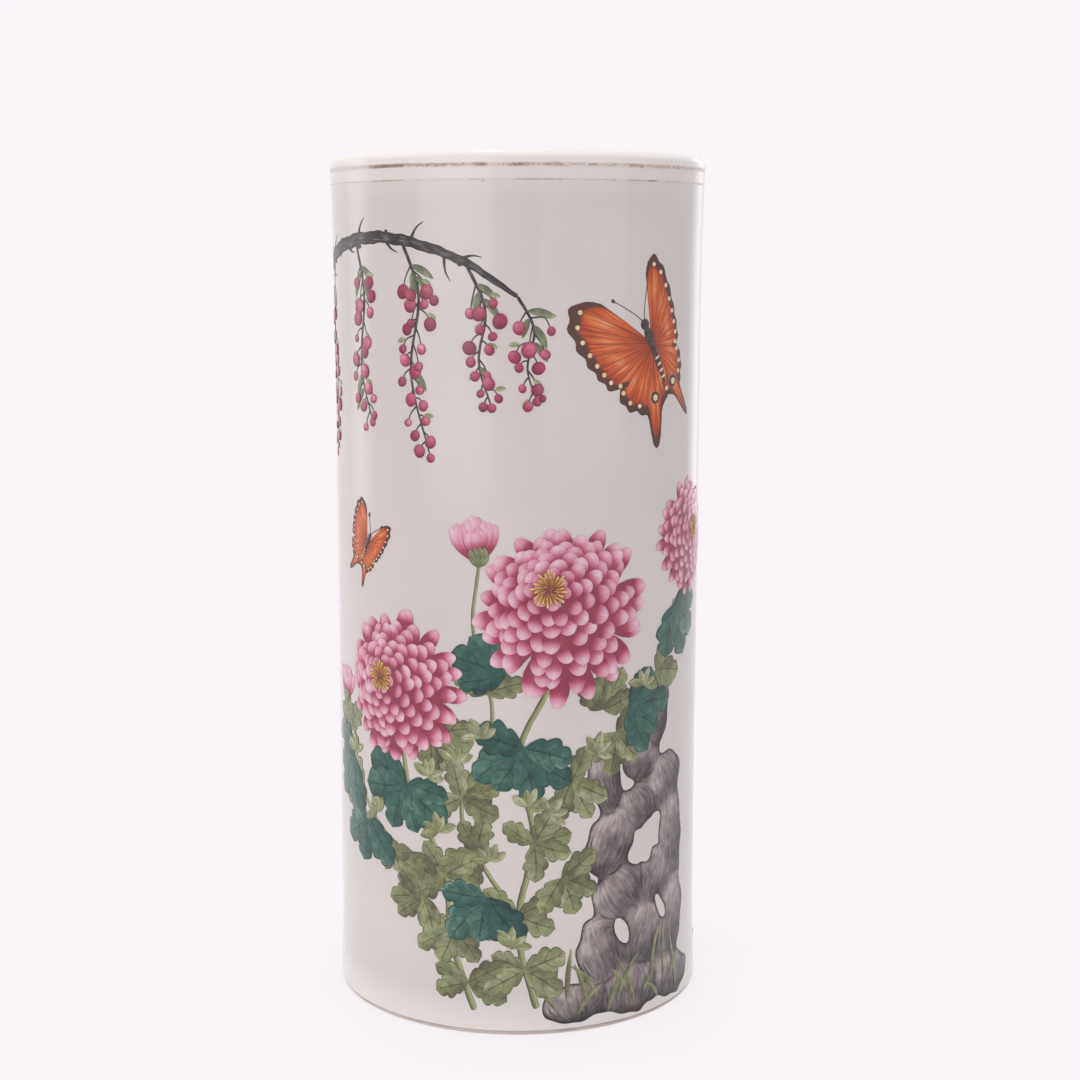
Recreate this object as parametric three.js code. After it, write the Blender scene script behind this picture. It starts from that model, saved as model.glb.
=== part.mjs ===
// A tall porcelain brush pot: a straight cylinder with a full round lip, a base disc luted into its
// foot, a glaze coat outside, inside and underneath, and two gilt lines under the lip.
// Millimetres, +Z up, origin at the centre of the standing ring on the table.

import * as THREE from "three";

// Driving dimensions, all over the fired surfaces.
const overallHeight = 280;
const bodyDiameter = 122.2; // over the glaze, halfway up
const glazeThickness = 0.4;

const wallThickness = 5.5; // bare porcelain, halfway up
const heelThickness = 7; // bare porcelain, where the base is luted in
const heelHeight = 60; // the wall thins from the heel up to here
const lipThickness = 4.6; // bare porcelain, the lip is half of a round this thick

const rimFlare = 1; // how far the mouth stands out past the body, on the radius
const rimFlareLength = 55;
const footFlare = 0.9; // how far the foot stands out past the body, on the radius
const footFlareLength = 30;

const footRingWidth = 10; // bare porcelain, across the ring that the pot stands on
const footBevel = 1.2; // the bevel round the outside of the standing ring
const glazeStop = 1.8; // height at which the glaze was wiped off the foot
const recessDepth = 4.5; // from the table up to the underside of the base disc
const baseThickness = 7;
const lutingFillet = 5; // radius of the slip that was smoothed into the corner over the base

const rimLineBelowLip = 4.4; // from the top of the lip down to the middle of the broad gilt line
const rimLineWidth = 1.1;
const neckLineBelowLip = 8.85; // from the top of the lip down to the middle of the fine gilt line
const neckLineWidth = 0.45;
const giltFilm = 0.12; // thickness that stands for the gilding

const segments = 64; // flats round every turned surface
const quarterSteps = 4; // straight steps in a quarter round
const flareSteps = 3; // straight steps in a flare

// Sizes that follow from the ones above.
const bodyRadius = bodyDiameter / 2;
const lipRadius = lipThickness / 2;
const lipCentreHeight = overallHeight - glazeThickness - lipRadius;
const baseTop = recessDepth + baseThickness;
const slipTop = baseTop + lutingFillet;

const point = (radius, height) => new THREE.Vector2(radius, height);

// Share of the way from one height to another, held between 0 and 1.
const shareOf = (height, from, to) => Math.min(Math.max((height - from) / (to - from), 0), 1);

// Radius of the bare porcelain's outside at a height: a cylinder that flares as a square law at both ends.
function outerRadius(height) {
  const atRim = shareOf(height, overallHeight - rimFlareLength, overallHeight);
  const atFoot = shareOf(height, footFlareLength, 0);
  return bodyRadius - glazeThickness + rimFlare * atRim ** 2 + footFlare * atFoot ** 2;
}

// Thickness of the bare porcelain wall at a height.
function thicknessAt(height) {
  const thinning = shareOf(height, overallHeight - rimFlareLength, lipCentreHeight);
  const thickening = shareOf(height, heelHeight, baseTop);
  return (
    wallThickness +
    (lipThickness - wallThickness) * thinning +
    (heelThickness - wallThickness) * thickening
  );
}

const innerRadius = (height) => outerRadius(height) - thicknessAt(height);

const lipCentreRadius = outerRadius(lipCentreHeight) - lipRadius;
const footInnerRadius = outerRadius(0) - footRingWidth;
const baseRadius = innerRadius(baseTop);

// Points from one height to another, in equal steps, with both ends.
const heightSteps = (from, to, steps) =>
  Array.from({ length: steps + 1 }, (_, i) => from + ((to - from) * i) / steps);

// Points along an arc, in equal steps, with both ends. Angles are in quarter turns from the +radius direction.
function arc(centreRadius, centreHeight, radius, fromQuarter, toQuarter) {
  return heightSteps(fromQuarter, toQuarter, quarterSteps).map((quarter) => {
    const angle = (quarter * Math.PI) / 2;
    return point(centreRadius + radius * Math.cos(angle), centreHeight + radius * Math.sin(angle));
  });
}

// The outside of the bare wall from the glaze's lower edge up to where the lip starts to turn.
const outsideHeights = [
  glazeStop,
  ...heightSteps(footFlareLength, glazeStop, 2).slice(0, -1).reverse(),
  ...heightSteps(overallHeight - rimFlareLength, lipCentreHeight, flareSteps),
];
const outsidePath = outsideHeights.map((height) => point(outerRadius(height), height));

// The inside of the bare wall from where the lip ends down to the top of the luting slip.
const insideHeights = [
  ...heightSteps(lipCentreHeight, overallHeight - rimFlareLength, flareSteps),
  heelHeight,
  slipTop,
];
const insidePath = insideHeights.map((height) => point(innerRadius(height), height));

// The lip's two quarter rounds, outside up to the crest and from the crest down inside.
const lipOut = (growth) => arc(lipCentreRadius, lipCentreHeight, lipRadius + growth, 0, 1);
const lipIn = (growth) => arc(lipCentreRadius, lipCentreHeight, lipRadius + growth, 1, 2);

// The hollow curve of the slip, from the wall down to the base disc.
const slipCurve = (growth) => arc(innerRadius(slipTop) - lutingFillet, slipTop, lutingFillet - growth, 0, -1);

// A path moved sideways by one distance: outwards if it is positive, towards the axis if negative.
const moved = (path, distance) => path.map(({ x, y }) => point(x + distance, y));

// The path over the outside of the glaze, from its lower edge to the crest of the lip.
const glazedOutside = [...moved(outsidePath, glazeThickness), ...lipOut(glazeThickness).slice(1)];

// Radius of the glazed outside at a height, on the straight step of the path that holds that height.
function glazedRadius(height) {
  const upper = glazedOutside.findIndex(({ y }) => y >= height);
  const [from, to] = [glazedOutside[upper - 1], glazedOutside[upper]];
  return from.x + (to.x - from.x) * shareOf(height, from.y, to.y);
}

// A turned piece: a closed profile, counterclockwise with the axis on its left, spun about +Z.
function turned(name, profile, material) {
  const geometry = new THREE.LatheGeometry([...profile, profile[0]], segments);
  geometry.rotateX(Math.PI / 2);
  const mesh = new THREE.Mesh(geometry, material);
  mesh.name = name;
  return mesh;
}

const biscuit = new THREE.MeshStandardMaterial({ color: 0xd9cbb8, roughness: 0.85, metalness: 0 });
const slip = new THREE.MeshStandardMaterial({ color: 0xe4dccf, roughness: 0.8, metalness: 0 });
const glaze = new THREE.MeshStandardMaterial({ color: 0xe3dcdb, roughness: 0.1, metalness: 0 });
const gilding = new THREE.MeshStandardMaterial({ color: 0x9a7b4f, roughness: 0.4, metalness: 0.8 });

// The thrown cylinder, with the ledge inside its foot that the base disc sits on.
function porcelainWall() {
  return turned(
    "porcelain_wall",
    [
      point(footInnerRadius, 0),
      point(outerRadius(0) - footBevel, 0),
      point(outerRadius(footBevel), footBevel),
      ...outsidePath,
      ...lipOut(0).slice(1),
      ...lipIn(0).slice(1),
      ...insidePath.slice(1),
      point(baseRadius, baseTop),
      point(baseRadius, recessDepth),
      point(footInnerRadius, recessDepth),
    ],
    biscuit,
  );
}

// The disc that closes the foot.
function baseDisc() {
  return turned(
    "base_disc",
    [point(0, recessDepth), point(baseRadius, recessDepth), point(baseRadius, baseTop), point(0, baseTop)],
    biscuit,
  );
}

// The ring of slip that joins the base disc to the wall.
function lutingSlip() {
  return turned("luting_slip", [point(baseRadius, baseTop), ...slipCurve(0)], slip);
}

// The glaze outside, from the wiped edge over the foot to the crest of the lip.
function outerGlaze() {
  const bare = [...outsidePath, ...lipOut(0).slice(1)];
  return turned("outer_glaze", [...glazedOutside, ...bare.reverse()], glaze);
}

// The glaze inside, from the crest of the lip down the wall and across the floor.
function innerGlaze() {
  const bare = [
    ...lipIn(0),
    ...insidePath.slice(1),
    ...slipCurve(0).slice(1),
    point(0, baseTop),
  ];
  const glazed = [
    ...lipIn(glazeThickness),
    ...moved(insidePath, -glazeThickness).slice(1),
    ...slipCurve(glazeThickness).slice(1),
    point(0, baseTop + glazeThickness),
  ];
  return turned("inner_glaze", [...glazed, ...bare.reverse()], glaze);
}

// The glaze underneath, over the base disc and down the inside of the standing ring.
function baseGlaze() {
  return turned(
    "base_glaze",
    [
      point(0, recessDepth - glazeThickness),
      point(footInnerRadius - glazeThickness, recessDepth - glazeThickness),
      point(footInnerRadius - glazeThickness, glazeStop),
      point(footInnerRadius, glazeStop),
      point(footInnerRadius, recessDepth),
      point(0, recessDepth),
    ],
    glaze,
  );
}

// A gilt line round the glazed outside, given by how far its middle lies below the top of the lip.
function giltLine(name, belowLip, width) {
  const [bottom, top] = [-width / 2, width / 2].map((offset) => overallHeight - belowLip + offset);
  return turned(
    name,
    [
      point(glazedRadius(bottom), bottom),
      point(glazedRadius(bottom) + giltFilm, bottom),
      point(glazedRadius(top) + giltFilm, top),
      point(glazedRadius(top), top),
    ],
    gilding,
  );
}

const brushPot = new THREE.Group();
brushPot.add(
  porcelainWall(),
  baseDisc(),
  lutingSlip(),
  outerGlaze(),
  innerGlaze(),
  baseGlaze(),
  giltLine("rim_gilt_line", rimLineBelowLip, rimLineWidth),
  giltLine("neck_gilt_line", neckLineBelowLip, neckLineWidth),
);

export default brushPot;
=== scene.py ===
"""A tall porcelain brush pot, painted in overglaze enamels with a generic garden: chrysanthemums, hanging
berries, a garden rock and butterflies.

The frame gives the turned porcelain. Here the glaze, the bare foot, the worn gilding and every film of
enamel get their fine surface. Lengths are in millimetres until a point is placed, and the painting is
laid out flat: "across" runs round the pot from the middle of the front, "height" runs up from the table.
"""

import math

import bpy
import numpy as np
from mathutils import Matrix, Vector


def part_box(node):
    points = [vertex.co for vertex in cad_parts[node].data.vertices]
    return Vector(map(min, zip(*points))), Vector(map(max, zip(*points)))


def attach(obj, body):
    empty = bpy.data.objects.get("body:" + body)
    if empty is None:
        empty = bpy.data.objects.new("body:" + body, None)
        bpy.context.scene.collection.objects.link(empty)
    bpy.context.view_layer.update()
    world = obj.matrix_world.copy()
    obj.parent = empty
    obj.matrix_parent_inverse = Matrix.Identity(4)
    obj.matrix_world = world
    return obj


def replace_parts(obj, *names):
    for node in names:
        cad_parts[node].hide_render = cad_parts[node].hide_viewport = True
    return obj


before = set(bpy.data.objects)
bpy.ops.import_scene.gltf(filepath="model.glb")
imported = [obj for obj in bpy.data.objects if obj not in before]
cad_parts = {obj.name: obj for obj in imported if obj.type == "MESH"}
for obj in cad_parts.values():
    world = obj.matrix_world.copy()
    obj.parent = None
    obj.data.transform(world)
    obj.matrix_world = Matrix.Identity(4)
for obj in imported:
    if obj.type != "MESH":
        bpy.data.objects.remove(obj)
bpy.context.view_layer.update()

MM = 0.001
SHARPEST_ROUND = 40  # degrees between two faces, past which their edge is drawn sharp

# The turned form, as in the frame.
POT_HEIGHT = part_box("inner_glaze")[1].z / MM
BODY_RADIUS = 61.1
GLAZE = 0.4
RIM_FLARE = 1.0
RIM_FLARE_LENGTH = 55.0
FOOT_FLARE = 0.9
FOOT_FLARE_LENGTH = 30.0
LIP_RADIUS = 2.3
WALL = 5.5
HEEL_WALL = 7.0
HEEL_HEIGHT = 60.0
FOOT_RING_WIDTH = 10.0
FOOT_BEVEL = 1.2
GLAZE_STOP = 1.8
RECESS = 4.5
BASE_TOP = 11.5
FILLET = 5.0
RIM_LINE_HEIGHT = POT_HEIGHT - 4.4
NECK_LINE_HEIGHT = POT_HEIGHT - 8.85

LIP_CENTRE_HEIGHT = POT_HEIGHT - GLAZE - LIP_RADIUS
GIRTH = 2 * math.pi * BODY_RADIUS


def share_of(value, start, end):
    """How far value is on the way from start to end, held between 0 and 1."""
    return np.clip((np.asarray(value, float) - start) / (end - start), 0, 1)


def smooth(value):
    """An S curve from 0 to 1: three squares less two cubes."""
    value = np.clip(value, 0, 1)
    return value * value * (3 - 2 * value)


def wobble(angle, height):
    """The hand-thrown wall's unevenness: three slow waves round and up the pot, 0.12 mm at most."""
    return (
        0.06 * np.sin(2 * angle + 0.9 + height / 70)
        + 0.035 * np.sin(3 * angle - 1.7 + height / 31)
        + 0.025 * np.sin(angle + height / 19)
    )


def bare_radius(height):
    """Outside of the bare porcelain: a cylinder that flares as a square law at the rim and at the foot."""
    at_rim = share_of(height, POT_HEIGHT - RIM_FLARE_LENGTH, POT_HEIGHT)
    at_foot = share_of(height, FOOT_FLARE_LENGTH, 0)
    return BODY_RADIUS - GLAZE + RIM_FLARE * at_rim**2 + FOOT_FLARE * at_foot**2


def wall_at(height):
    """Thickness of the bare wall: thickest at the heel, thinnest at the lip, in straight tapers."""
    thinning = share_of(height, POT_HEIGHT - RIM_FLARE_LENGTH, LIP_CENTRE_HEIGHT)
    thickening = share_of(height, HEEL_HEIGHT, BASE_TOP)
    return WALL + (2 * LIP_RADIUS - WALL) * thinning + (HEEL_WALL - WALL) * thickening


def on_pot(across, height, lift):
    """Wrap flat painting onto the pot: the angle is the way across over the body's radius, and the
    distance from the axis is the glaze's radius there plus the lift."""
    angle = np.asarray(across, float) / BODY_RADIUS
    radius = bare_radius(height) + GLAZE + wobble(angle, height) + lift
    return np.stack([radius * np.sin(angle), -radius * np.cos(angle), height + 0 * radius], -1) * MM


def new_piece(name, points, faces, material, maps=None, values=None):
    """Make a mesh piece from arrays of points and faces, with an optional map and painted values."""
    mesh = bpy.data.meshes.new(name)
    mesh.from_pydata(points.reshape(-1, 3).tolist(), [], faces)
    mesh.polygons.foreach_set("use_smooth", np.ones(len(mesh.polygons), bool))
    if maps is not None:
        corner = np.zeros(len(mesh.loops), np.int32)
        mesh.loops.foreach_get("vertex_index", corner)
        mesh.uv_layers.new(name="brush").data.foreach_set("uv", maps[corner].astype(np.float32).ravel())
    for key, value in (values or {}).items():
        layer = mesh.attributes.new(key, "FLOAT", "POINT")
        layer.data.foreach_set("value", value.astype(np.float32))
    mesh.set_sharp_from_angle(angle=math.radians(SHARPEST_ROUND))
    mesh.materials.append(material)
    mesh.update()
    piece = bpy.data.objects.new(name, mesh)
    bpy.context.scene.collection.objects.link(piece)
    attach(piece, "root")
    return piece


def spin(profile, columns, uneven=None):
    """Carry a closed profile of (radius, height) round the axis: each point turns into a ring. A point on
    the axis is one point, so the piece closes there without a hole."""
    profile = np.asarray(profile, float)
    angle = np.arange(columns) * 2 * math.pi / columns
    radius, height = profile[:, :1], profile[:, 1:]
    extra = uneven(angle[None, :], height) * (radius > 0) if uneven else 0
    radius = radius + extra
    ring = [radius * np.sin(angle), -radius * np.cos(angle), height + 0 * angle]
    points = np.stack(np.broadcast_arrays(*ring), -1) * MM
    row = np.arange(len(profile))
    index = row[:, None] * columns + np.arange(columns)[None, :]
    index[profile[:, 0] == 0] = index[profile[:, 0] == 0][:, :1]
    after = np.roll(index, -1, axis=1)
    quads = np.stack([index, after, np.roll(after, -1, axis=0), np.roll(index, -1, axis=0)], -1)
    quads = quads.reshape(-1, 4)
    used, quads = np.unique(quads, return_inverse=True)
    points = points.reshape(-1, 3)[used]
    faces = []
    for quad in quads.reshape(-1, 4).tolist():
        face = [v for i, v in enumerate(quad) if v != quad[i - 1]]
        if len(set(face)) > 2:
            faces.append(face)
    return points, faces


# Colours and materials.


LOBES = 3  # to each side of a leaf
WING_CELLS = 8  # between the veins of a wing
GLASS_IOR = 1.5  # of the glaze, of the enamels and of fired porcelain

# Where painted light and shade on the glaze start and where they are full, in millimetres below the top of
# the lip.
RIM_PAINTED_LIGHT = (15.0, 8.5)
LIP_PAINTED_LIGHT = (4.6, 3.1)
CREST_PAINTED_SHADE = (1.2, 0.2)
FOOT_PAINTED_LIGHT = (14.0, 2.0)  # over the table


def colour(code):
    """A colour written as an sRGB hex code, turned to the linear values that shaders use."""
    parts = [int(code[i : i + 2], 16) / 255 for i in (1, 3, 5)]
    return [p / 12.92 if p <= 0.04045 else ((p + 0.055) / 1.055) ** 2.4 for p in parts] + [1.0]


def node(tree, kind, inputs=(), stops=(), **settings):
    """Add one shader node and set its properties. Its inputs are listed in order or keyed by name or
    number. Each is a number, a hex code, an output, or a node, which stands for its first output. The
    stops of a ramp are places from 0 to 1 with their hex codes."""
    made = tree.nodes.new("ShaderNode" + kind)
    for key, value in settings.items():
        setattr(made, key, value)
    for socket, value in inputs.items() if isinstance(inputs, dict) else enumerate(inputs):
        if isinstance(value, bpy.types.Node):
            value = value.outputs[0]
        if isinstance(value, bpy.types.NodeSocket):
            tree.links.new(value, made.inputs[socket])
        else:
            made.inputs[socket].default_value = colour(value) if isinstance(value, str) else value
    if stops:
        line = made.color_ramp.elements
        while len(line) < len(stops):
            line.new(0.5)
        for element, (place, code) in zip(line, stops):
            element.position = place
            element.color = colour(code)
    return made


def soft_grain(tree, size_mm, place=None, detail=3.0, stretch=(1, 1, 1)):
    """Soft noise whose grain is size_mm across on the object, or in the map's units if place is given."""
    if place is None:
        place = node(tree, "TexCoord").outputs["Object"]
        scale = [s / (size_mm * MM) for s in stretch]
    else:
        scale = [s / size_mm for s in stretch]
    place = node(tree, "Mapping", {"Vector": place, "Scale": scale})
    return node(tree, "TexNoise", {"Vector": place, "Scale": 1.0, "Detail": detail})


def specks(tree, spacing_mm, size_mm):
    """1 inside round specks of about size_mm across, strewn one to each cell of spacing_mm."""
    place = node(tree, "TexCoord").outputs["Object"]
    cell = node(tree, "TexVoronoi", {"Vector": place, "Scale": 1 / (spacing_mm * MM)})
    return node(tree, "Math", [cell.outputs["Distance"], size_mm / spacing_mm], operation="LESS_THAN")


def height_mm(tree):
    """Height over the table, in millimetres."""
    place = node(tree, "TexCoord").outputs["Object"]
    parts = node(tree, "SeparateXYZ", [place]).outputs
    return node(tree, "Math", [parts[2], MM], operation="DIVIDE")


def across_and_along(tree, brush):
    """The two numbers of the film's own map."""
    parts = node(tree, "SeparateXYZ", [brush]).outputs
    return parts[0], parts[1]


def from_middle(tree, across):
    """How far a share lies from a half: 0 in the middle and 1 at both ends."""
    side = node(tree, "Math", [across, 2.0, -1.0], operation="MULTIPLY_ADD")
    return node(tree, "Math", [side], operation="ABSOLUTE")


def way_between(tree, value, start, end):
    """How far a value is on the way from start to end, held between 0 and 1."""
    way = node(tree, "Math", [value, start], operation="SUBTRACT")
    return node(tree, "Math", [way, end - start], operation="DIVIDE", use_clamp=True)


def summed(tree, start, *parts):
    """A sum: the start, plus each part, which is a value and what it is multiplied by."""
    total = start
    for value, amount in parts:
        total = node(tree, "Math", [value, amount, total], operation="MULTIPLY_ADD")
    return total


def stirred(tree, tone, pattern, amount, clamp=False):
    """A tone made lighter and darker by a pattern: the pattern less a half, times the amount, is added."""
    away = node(tree, "Math", [pattern, 0.5], operation="SUBTRACT")
    return node(tree, "Math", [away, amount, tone], operation="MULTIPLY_ADD", use_clamp=clamp)


def laid_over(tree, base, over, share, strength=1.0):
    """A colour laid over another, as thickly as the share times the strength says."""
    share = node(tree, "Math", [share, strength], operation="MULTIPLY")
    return node(tree, "Mix", {0: share, 6: base, 7: over}, data_type="RGBA").outputs[2]


def begin(name):
    """A new material with an empty node tree."""
    material = bpy.data.materials.new(name)
    material.use_nodes = True
    material.node_tree.nodes.clear()
    return material, material.node_tree


def finish_named_after(recipe):
    """A material with its recipe's name, whose node tree the recipe fills."""
    material, tree = begin(recipe.__name__)
    recipe(tree)
    return material


def end_with(tree, base, roughness, bump=None, bump_mm=0.02):
    """End a tree with a Principled surface; bump is a height from 0 to 1, bump_mm its real height."""
    inputs = {"Base Color": base, "Roughness": roughness, "IOR": GLASS_IOR}
    if bump is not None:
        inputs["Normal"] = node(tree, "Bump", {"Height": bump, "Distance": bump_mm * MM, "Strength": 1.0})
    surface = node(tree, "BsdfPrincipled", inputs)
    node(tree, "OutputMaterial", [surface])


def clear_glaze_on_porcelain(tree):
    """Transparent felspar glaze over white porcelain, fired glossy: a pale warm grey white that pools a
    little cooler in slow clouds, with a faint ripple like orange peel and a few iron specks. Painted light
    whitens it near the rim, above the fine gilt line, on the lip and close to the foot, and painted shade
    greys the crest of the lip."""
    cloud = soft_grain(tree, 45, detail=2)
    base = node(tree, "ValToRGB", [cloud], stops=[(0.3, "#D8D1CF"), (0.7, "#DED7D4")])
    for spacing_mm, size_mm, strength in ((19, 0.30, 0.75), (11, 0.13, 0.6)):
        base = laid_over(tree, base, "#5F4C42", specks(tree, spacing_mm, size_mm), strength)
    height = height_mm(tree)
    # Shares of painted light near the rim and on the lip, and of painted shade at the crest of the lip.
    rim_light_share, lip_light_share, crest_shade_share = (
        way_between(tree, height, POT_HEIGHT - start, POT_HEIGHT - end)
        for start, end in (RIM_PAINTED_LIGHT, LIP_PAINTED_LIGHT, CREST_PAINTED_SHADE)
    )
    neck_light_share = node(tree, "Math", [height, NECK_LINE_HEIGHT], operation="GREATER_THAN")
    # Painted light: the glaze is whitened near the rim, above the neck line and on the lip, for light that
    # falls there.
    white = summed(tree, 0.0, (rim_light_share, 0.25), (neck_light_share, 0.25), (lip_light_share, 0.5))
    base = laid_over(tree, base, "#F4EFEC", white)
    # Painted shade: the crest of the lip is made a little greyer.
    base = laid_over(tree, base, "#BBB0AA", crest_shade_share, 0.2)
    # Painted light: the glaze is whitened close to the foot, for light bounced up from the table.
    base = laid_over(tree, base, "#F0EAE8", way_between(tree, height, *FOOT_PAINTED_LIGHT))
    peel = soft_grain(tree, 2.6, detail=2)
    end_with(tree, base, 0.12, peel, 0.005)


def fired_biscuit(tree):
    """Bare porcelain that was never glazed: matt, slightly sandy and pale, scorched brown in a thin line
    along the glaze's lower edge. The real grit is finer than 0.1 mm and is drawn as coarse as it needs to
    show."""
    grain = soft_grain(tree, 0.7)
    base = node(tree, "ValToRGB", [grain], stops=[(0.3, "#D4C9C1"), (0.7, "#E2D9D3")])
    height = summed(tree, height_mm(tree), (soft_grain(tree, 6), 0.8))
    share = node(tree, "Math", [height, GLAZE_STOP], operation="DIVIDE")
    scorch = node(tree, "ValToRGB", [share], stops=[(0.62, "#000000"), (0.95, "#FFFFFF")])
    patch = soft_grain(tree, 24, detail=2)
    patch = node(tree, "Math", [patch, 1.6, -0.25], operation="MULTIPLY_ADD", use_clamp=True)
    base = laid_over(tree, base, "#9C8C84", scorch, patch)
    end_with(tree, base, 0.85, grain, 0.03)


def fired_slip(tree):
    """The same porcelain as a slip, smeared into the corner by a wet finger and fired bare: matt and a
    little paler than the body, with the finger's fine rings round the pot's axis."""
    smear = soft_grain(tree, 5, detail=4, stretch=(0.3, 0.3, 3))
    base = node(tree, "ValToRGB", [smear], stops=[(0.3, "#D3C8BC"), (0.7, "#E2DAD0")])
    end_with(tree, base, 0.8, smear, 0.08)


def rubbed_gilding(tree):
    """Gold paint that hands have rubbed for a century: grainy smudges of its grey brown ground, pale tan
    gold round them, and only the glaze where both are gone, first along both edges. The map runs round
    the pot in millimetres, and the wash is 1 where the line is worn through."""
    brush = node(tree, "UVMap", uv_map="brush")
    side = from_middle(tree, across_and_along(tree, brush)[0])
    patch = soft_grain(tree, 1, brush, detail=4, stretch=(1.2, 0.4, 1))
    grain = soft_grain(tree, 0.45, detail=2)
    edge = node(tree, "Math", [side, 2.0], operation="POWER")
    wash = node(tree, "Attribute", attribute_name="wash").outputs["Fac"]
    state = summed(tree, 0.33, (edge, 0.13), (wash, 0.37))
    state = stirred(tree, state, grain, 0.6)
    state = stirred(tree, state, patch, 0.5)
    ground = [(0.28, "#85716D"), (0.38, "#9C8882"), (0.47, "#AF9B92")]
    gold = [(0.54, "#C6AE9C"), (0.61, "#D8C8BD"), (0.68, "#DED6D2")]
    base = node(tree, "ValToRGB", [state], stops=ground + gold)
    end_with(tree, base, 0.4, grain, 0.01)


def rose_enamel(tree):
    """Opaque white enamel washed over with colloidal gold pink: deep rose in the folds, nearly white at
    the petals' lips, with hair-fine brush streaks running out along each petal."""
    streak = soft_grain(tree, 1, node(tree, "UVMap", uv_map="brush"), detail=2, stretch=(26, 1.6, 1))
    wash = node(tree, "Attribute", attribute_name="wash").outputs["Fac"]
    tone = stirred(tree, wash, streak, 0.34)
    tone = stirred(tree, tone, soft_grain(tree, 3.5, detail=2), 0.22, clamp=True)
    roses = [(0.0, "#92334D"), (0.22, "#B04A66"), (0.5, "#CC7791"), (0.75, "#DEA3B8"), (1.0, "#ECCAD5")]
    base = node(tree, "ValToRGB", [tone], stops=roses)
    end_with(tree, base, 0.2, streak, 0.01)


def leaf_enamel(tree):
    """Translucent copper greens over a black drawing: blue green on the old leaves, moss green turning to
    plum on the young ones, with drawn veins and outline showing through. The map gives the share across
    the leaf and the share along it."""
    brush = node(tree, "UVMap", uv_map="brush")
    across, along = across_and_along(tree, brush)
    side = from_middle(tree, across)
    wash = node(tree, "Attribute", attribute_name="wash").outputs["Fac"]
    age = node(tree, "Attribute", attribute_name="age").outputs["Fac"]
    wet = soft_grain(tree, 3.2, detail=3)
    bristle = soft_grain(tree, 1, brush, detail=2, stretch=(9, 2.5, 1))
    tone = stirred(tree, wash, wet, 1.1)
    tone = stirred(tree, tone, bristle, 0.5, clamp=True)
    mosses = [(0.0, "#554B43"), (0.22, "#67684C"), (0.5, "#80875F"), (0.75, "#979C74"), (1.0, "#B9BA97")]
    teals = [(0.0, "#1B3A38"), (0.3, "#28524B"), (0.6, "#396459"), (0.85, "#557D6F"), (1.0, "#86A595")]
    young = node(tree, "ValToRGB", [tone], stops=mosses)
    old = node(tree, "ValToRGB", [tone], stops=teals)
    base = laid_over(tree, young, old, age)
    rib = node(tree, "Math", [side, 0.05], operation="LESS_THAN")
    lobe = node(tree, "Math", [summed(tree, 0.02, (along, LOBES), (side, -0.42))], operation="FRACT")
    vein = node(tree, "Math", [from_middle(tree, lobe), 0.09], operation="LESS_THAN")
    vein = node(tree, "Math", [vein, summed(tree, 0.85, (side, -0.6))], operation="MULTIPLY")
    rim = node(tree, "Math", [stirred(tree, side, wet, 0.12), 0.9], operation="GREATER_THAN")
    rim = node(tree, "Math", [rim, 0.8], operation="MULTIPLY")
    drawn = node(tree, "Math", [rib, vein], operation="MAXIMUM")
    drawn = node(tree, "Math", [drawn, rim], operation="MAXIMUM")
    line = laid_over(tree, "#453A34", "#142B2A", age)
    base = laid_over(tree, base, line, drawn, 0.8)
    end_with(tree, base, 0.18, wet, 0.015)


def bark_enamel(tree):
    """Dry brown black drawn in broken strokes and glazed over thinly. Old wood is a row of overlapping
    scales: each starts at a dark bowed line and gets paler, plum grey in the middle and nearly black
    along both edges, streaked by the dry hairs. Young stems are moss green in a thin dark outline. The
    map gives the share across the stroke and the centimetres along it."""
    brush = node(tree, "UVMap", uv_map="brush")
    across, along = across_and_along(tree, brush)
    side = from_middle(tree, across)
    uneven = soft_grain(tree, 1, brush, detail=2, stretch=(1.6, 1.4, 1))
    streak = soft_grain(tree, 1, brush, detail=3, stretch=(8, 1.7, 1))
    bow = node(tree, "Math", [side, 2.0], operation="POWER")
    place = summed(tree, 0.0, (along, 1.5), (uneven, 2.2), (bow, 0.45))
    scale = node(tree, "Math", [place], operation="FRACT")
    greys = [(0.0, "#6E6E6E"), (0.07, "#000000"), (0.16, "#3C3C3C"), (0.55, "#B4B4B4"), (1.0, "#7A7A7A")]
    scale = node(tree, "ValToRGB", [scale], stops=greys)
    edge = node(tree, "Math", [side, 2.2], operation="POWER")
    lit = node(tree, "Math", [scale, summed(tree, 1.0, (edge, -1.0))], operation="MULTIPLY")
    tone = stirred(tree, lit, streak, 2.4)
    tone = node(tree, "Math", [across, 0.16, tone], operation="MULTIPLY_ADD", use_clamp=True)
    browns = [(0.0, "#211C1D"), (0.3, "#362F30"), (0.55, "#574D4F"), (0.8, "#877C7C"), (1.0, "#B1A7A4")]
    wood = node(tree, "ValToRGB", [tone], stops=browns)
    tone = stirred(tree, across, streak, 0.8, clamp=True)
    mosses = [(0.0, "#4A4A38"), (0.3, "#747A52"), (0.7, "#A0A575"), (1.0, "#BCC09A")]
    green = node(tree, "ValToRGB", [tone], stops=mosses)
    outline = node(tree, "Math", [side, 0.78], operation="GREATER_THAN")
    green = laid_over(tree, green, "#3A3D28", outline, 0.65)
    age = node(tree, "Attribute", attribute_name="age").outputs["Fac"]
    base = laid_over(tree, green, wood, age)
    end_with(tree, base, 0.3, streak, 0.02)


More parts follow.
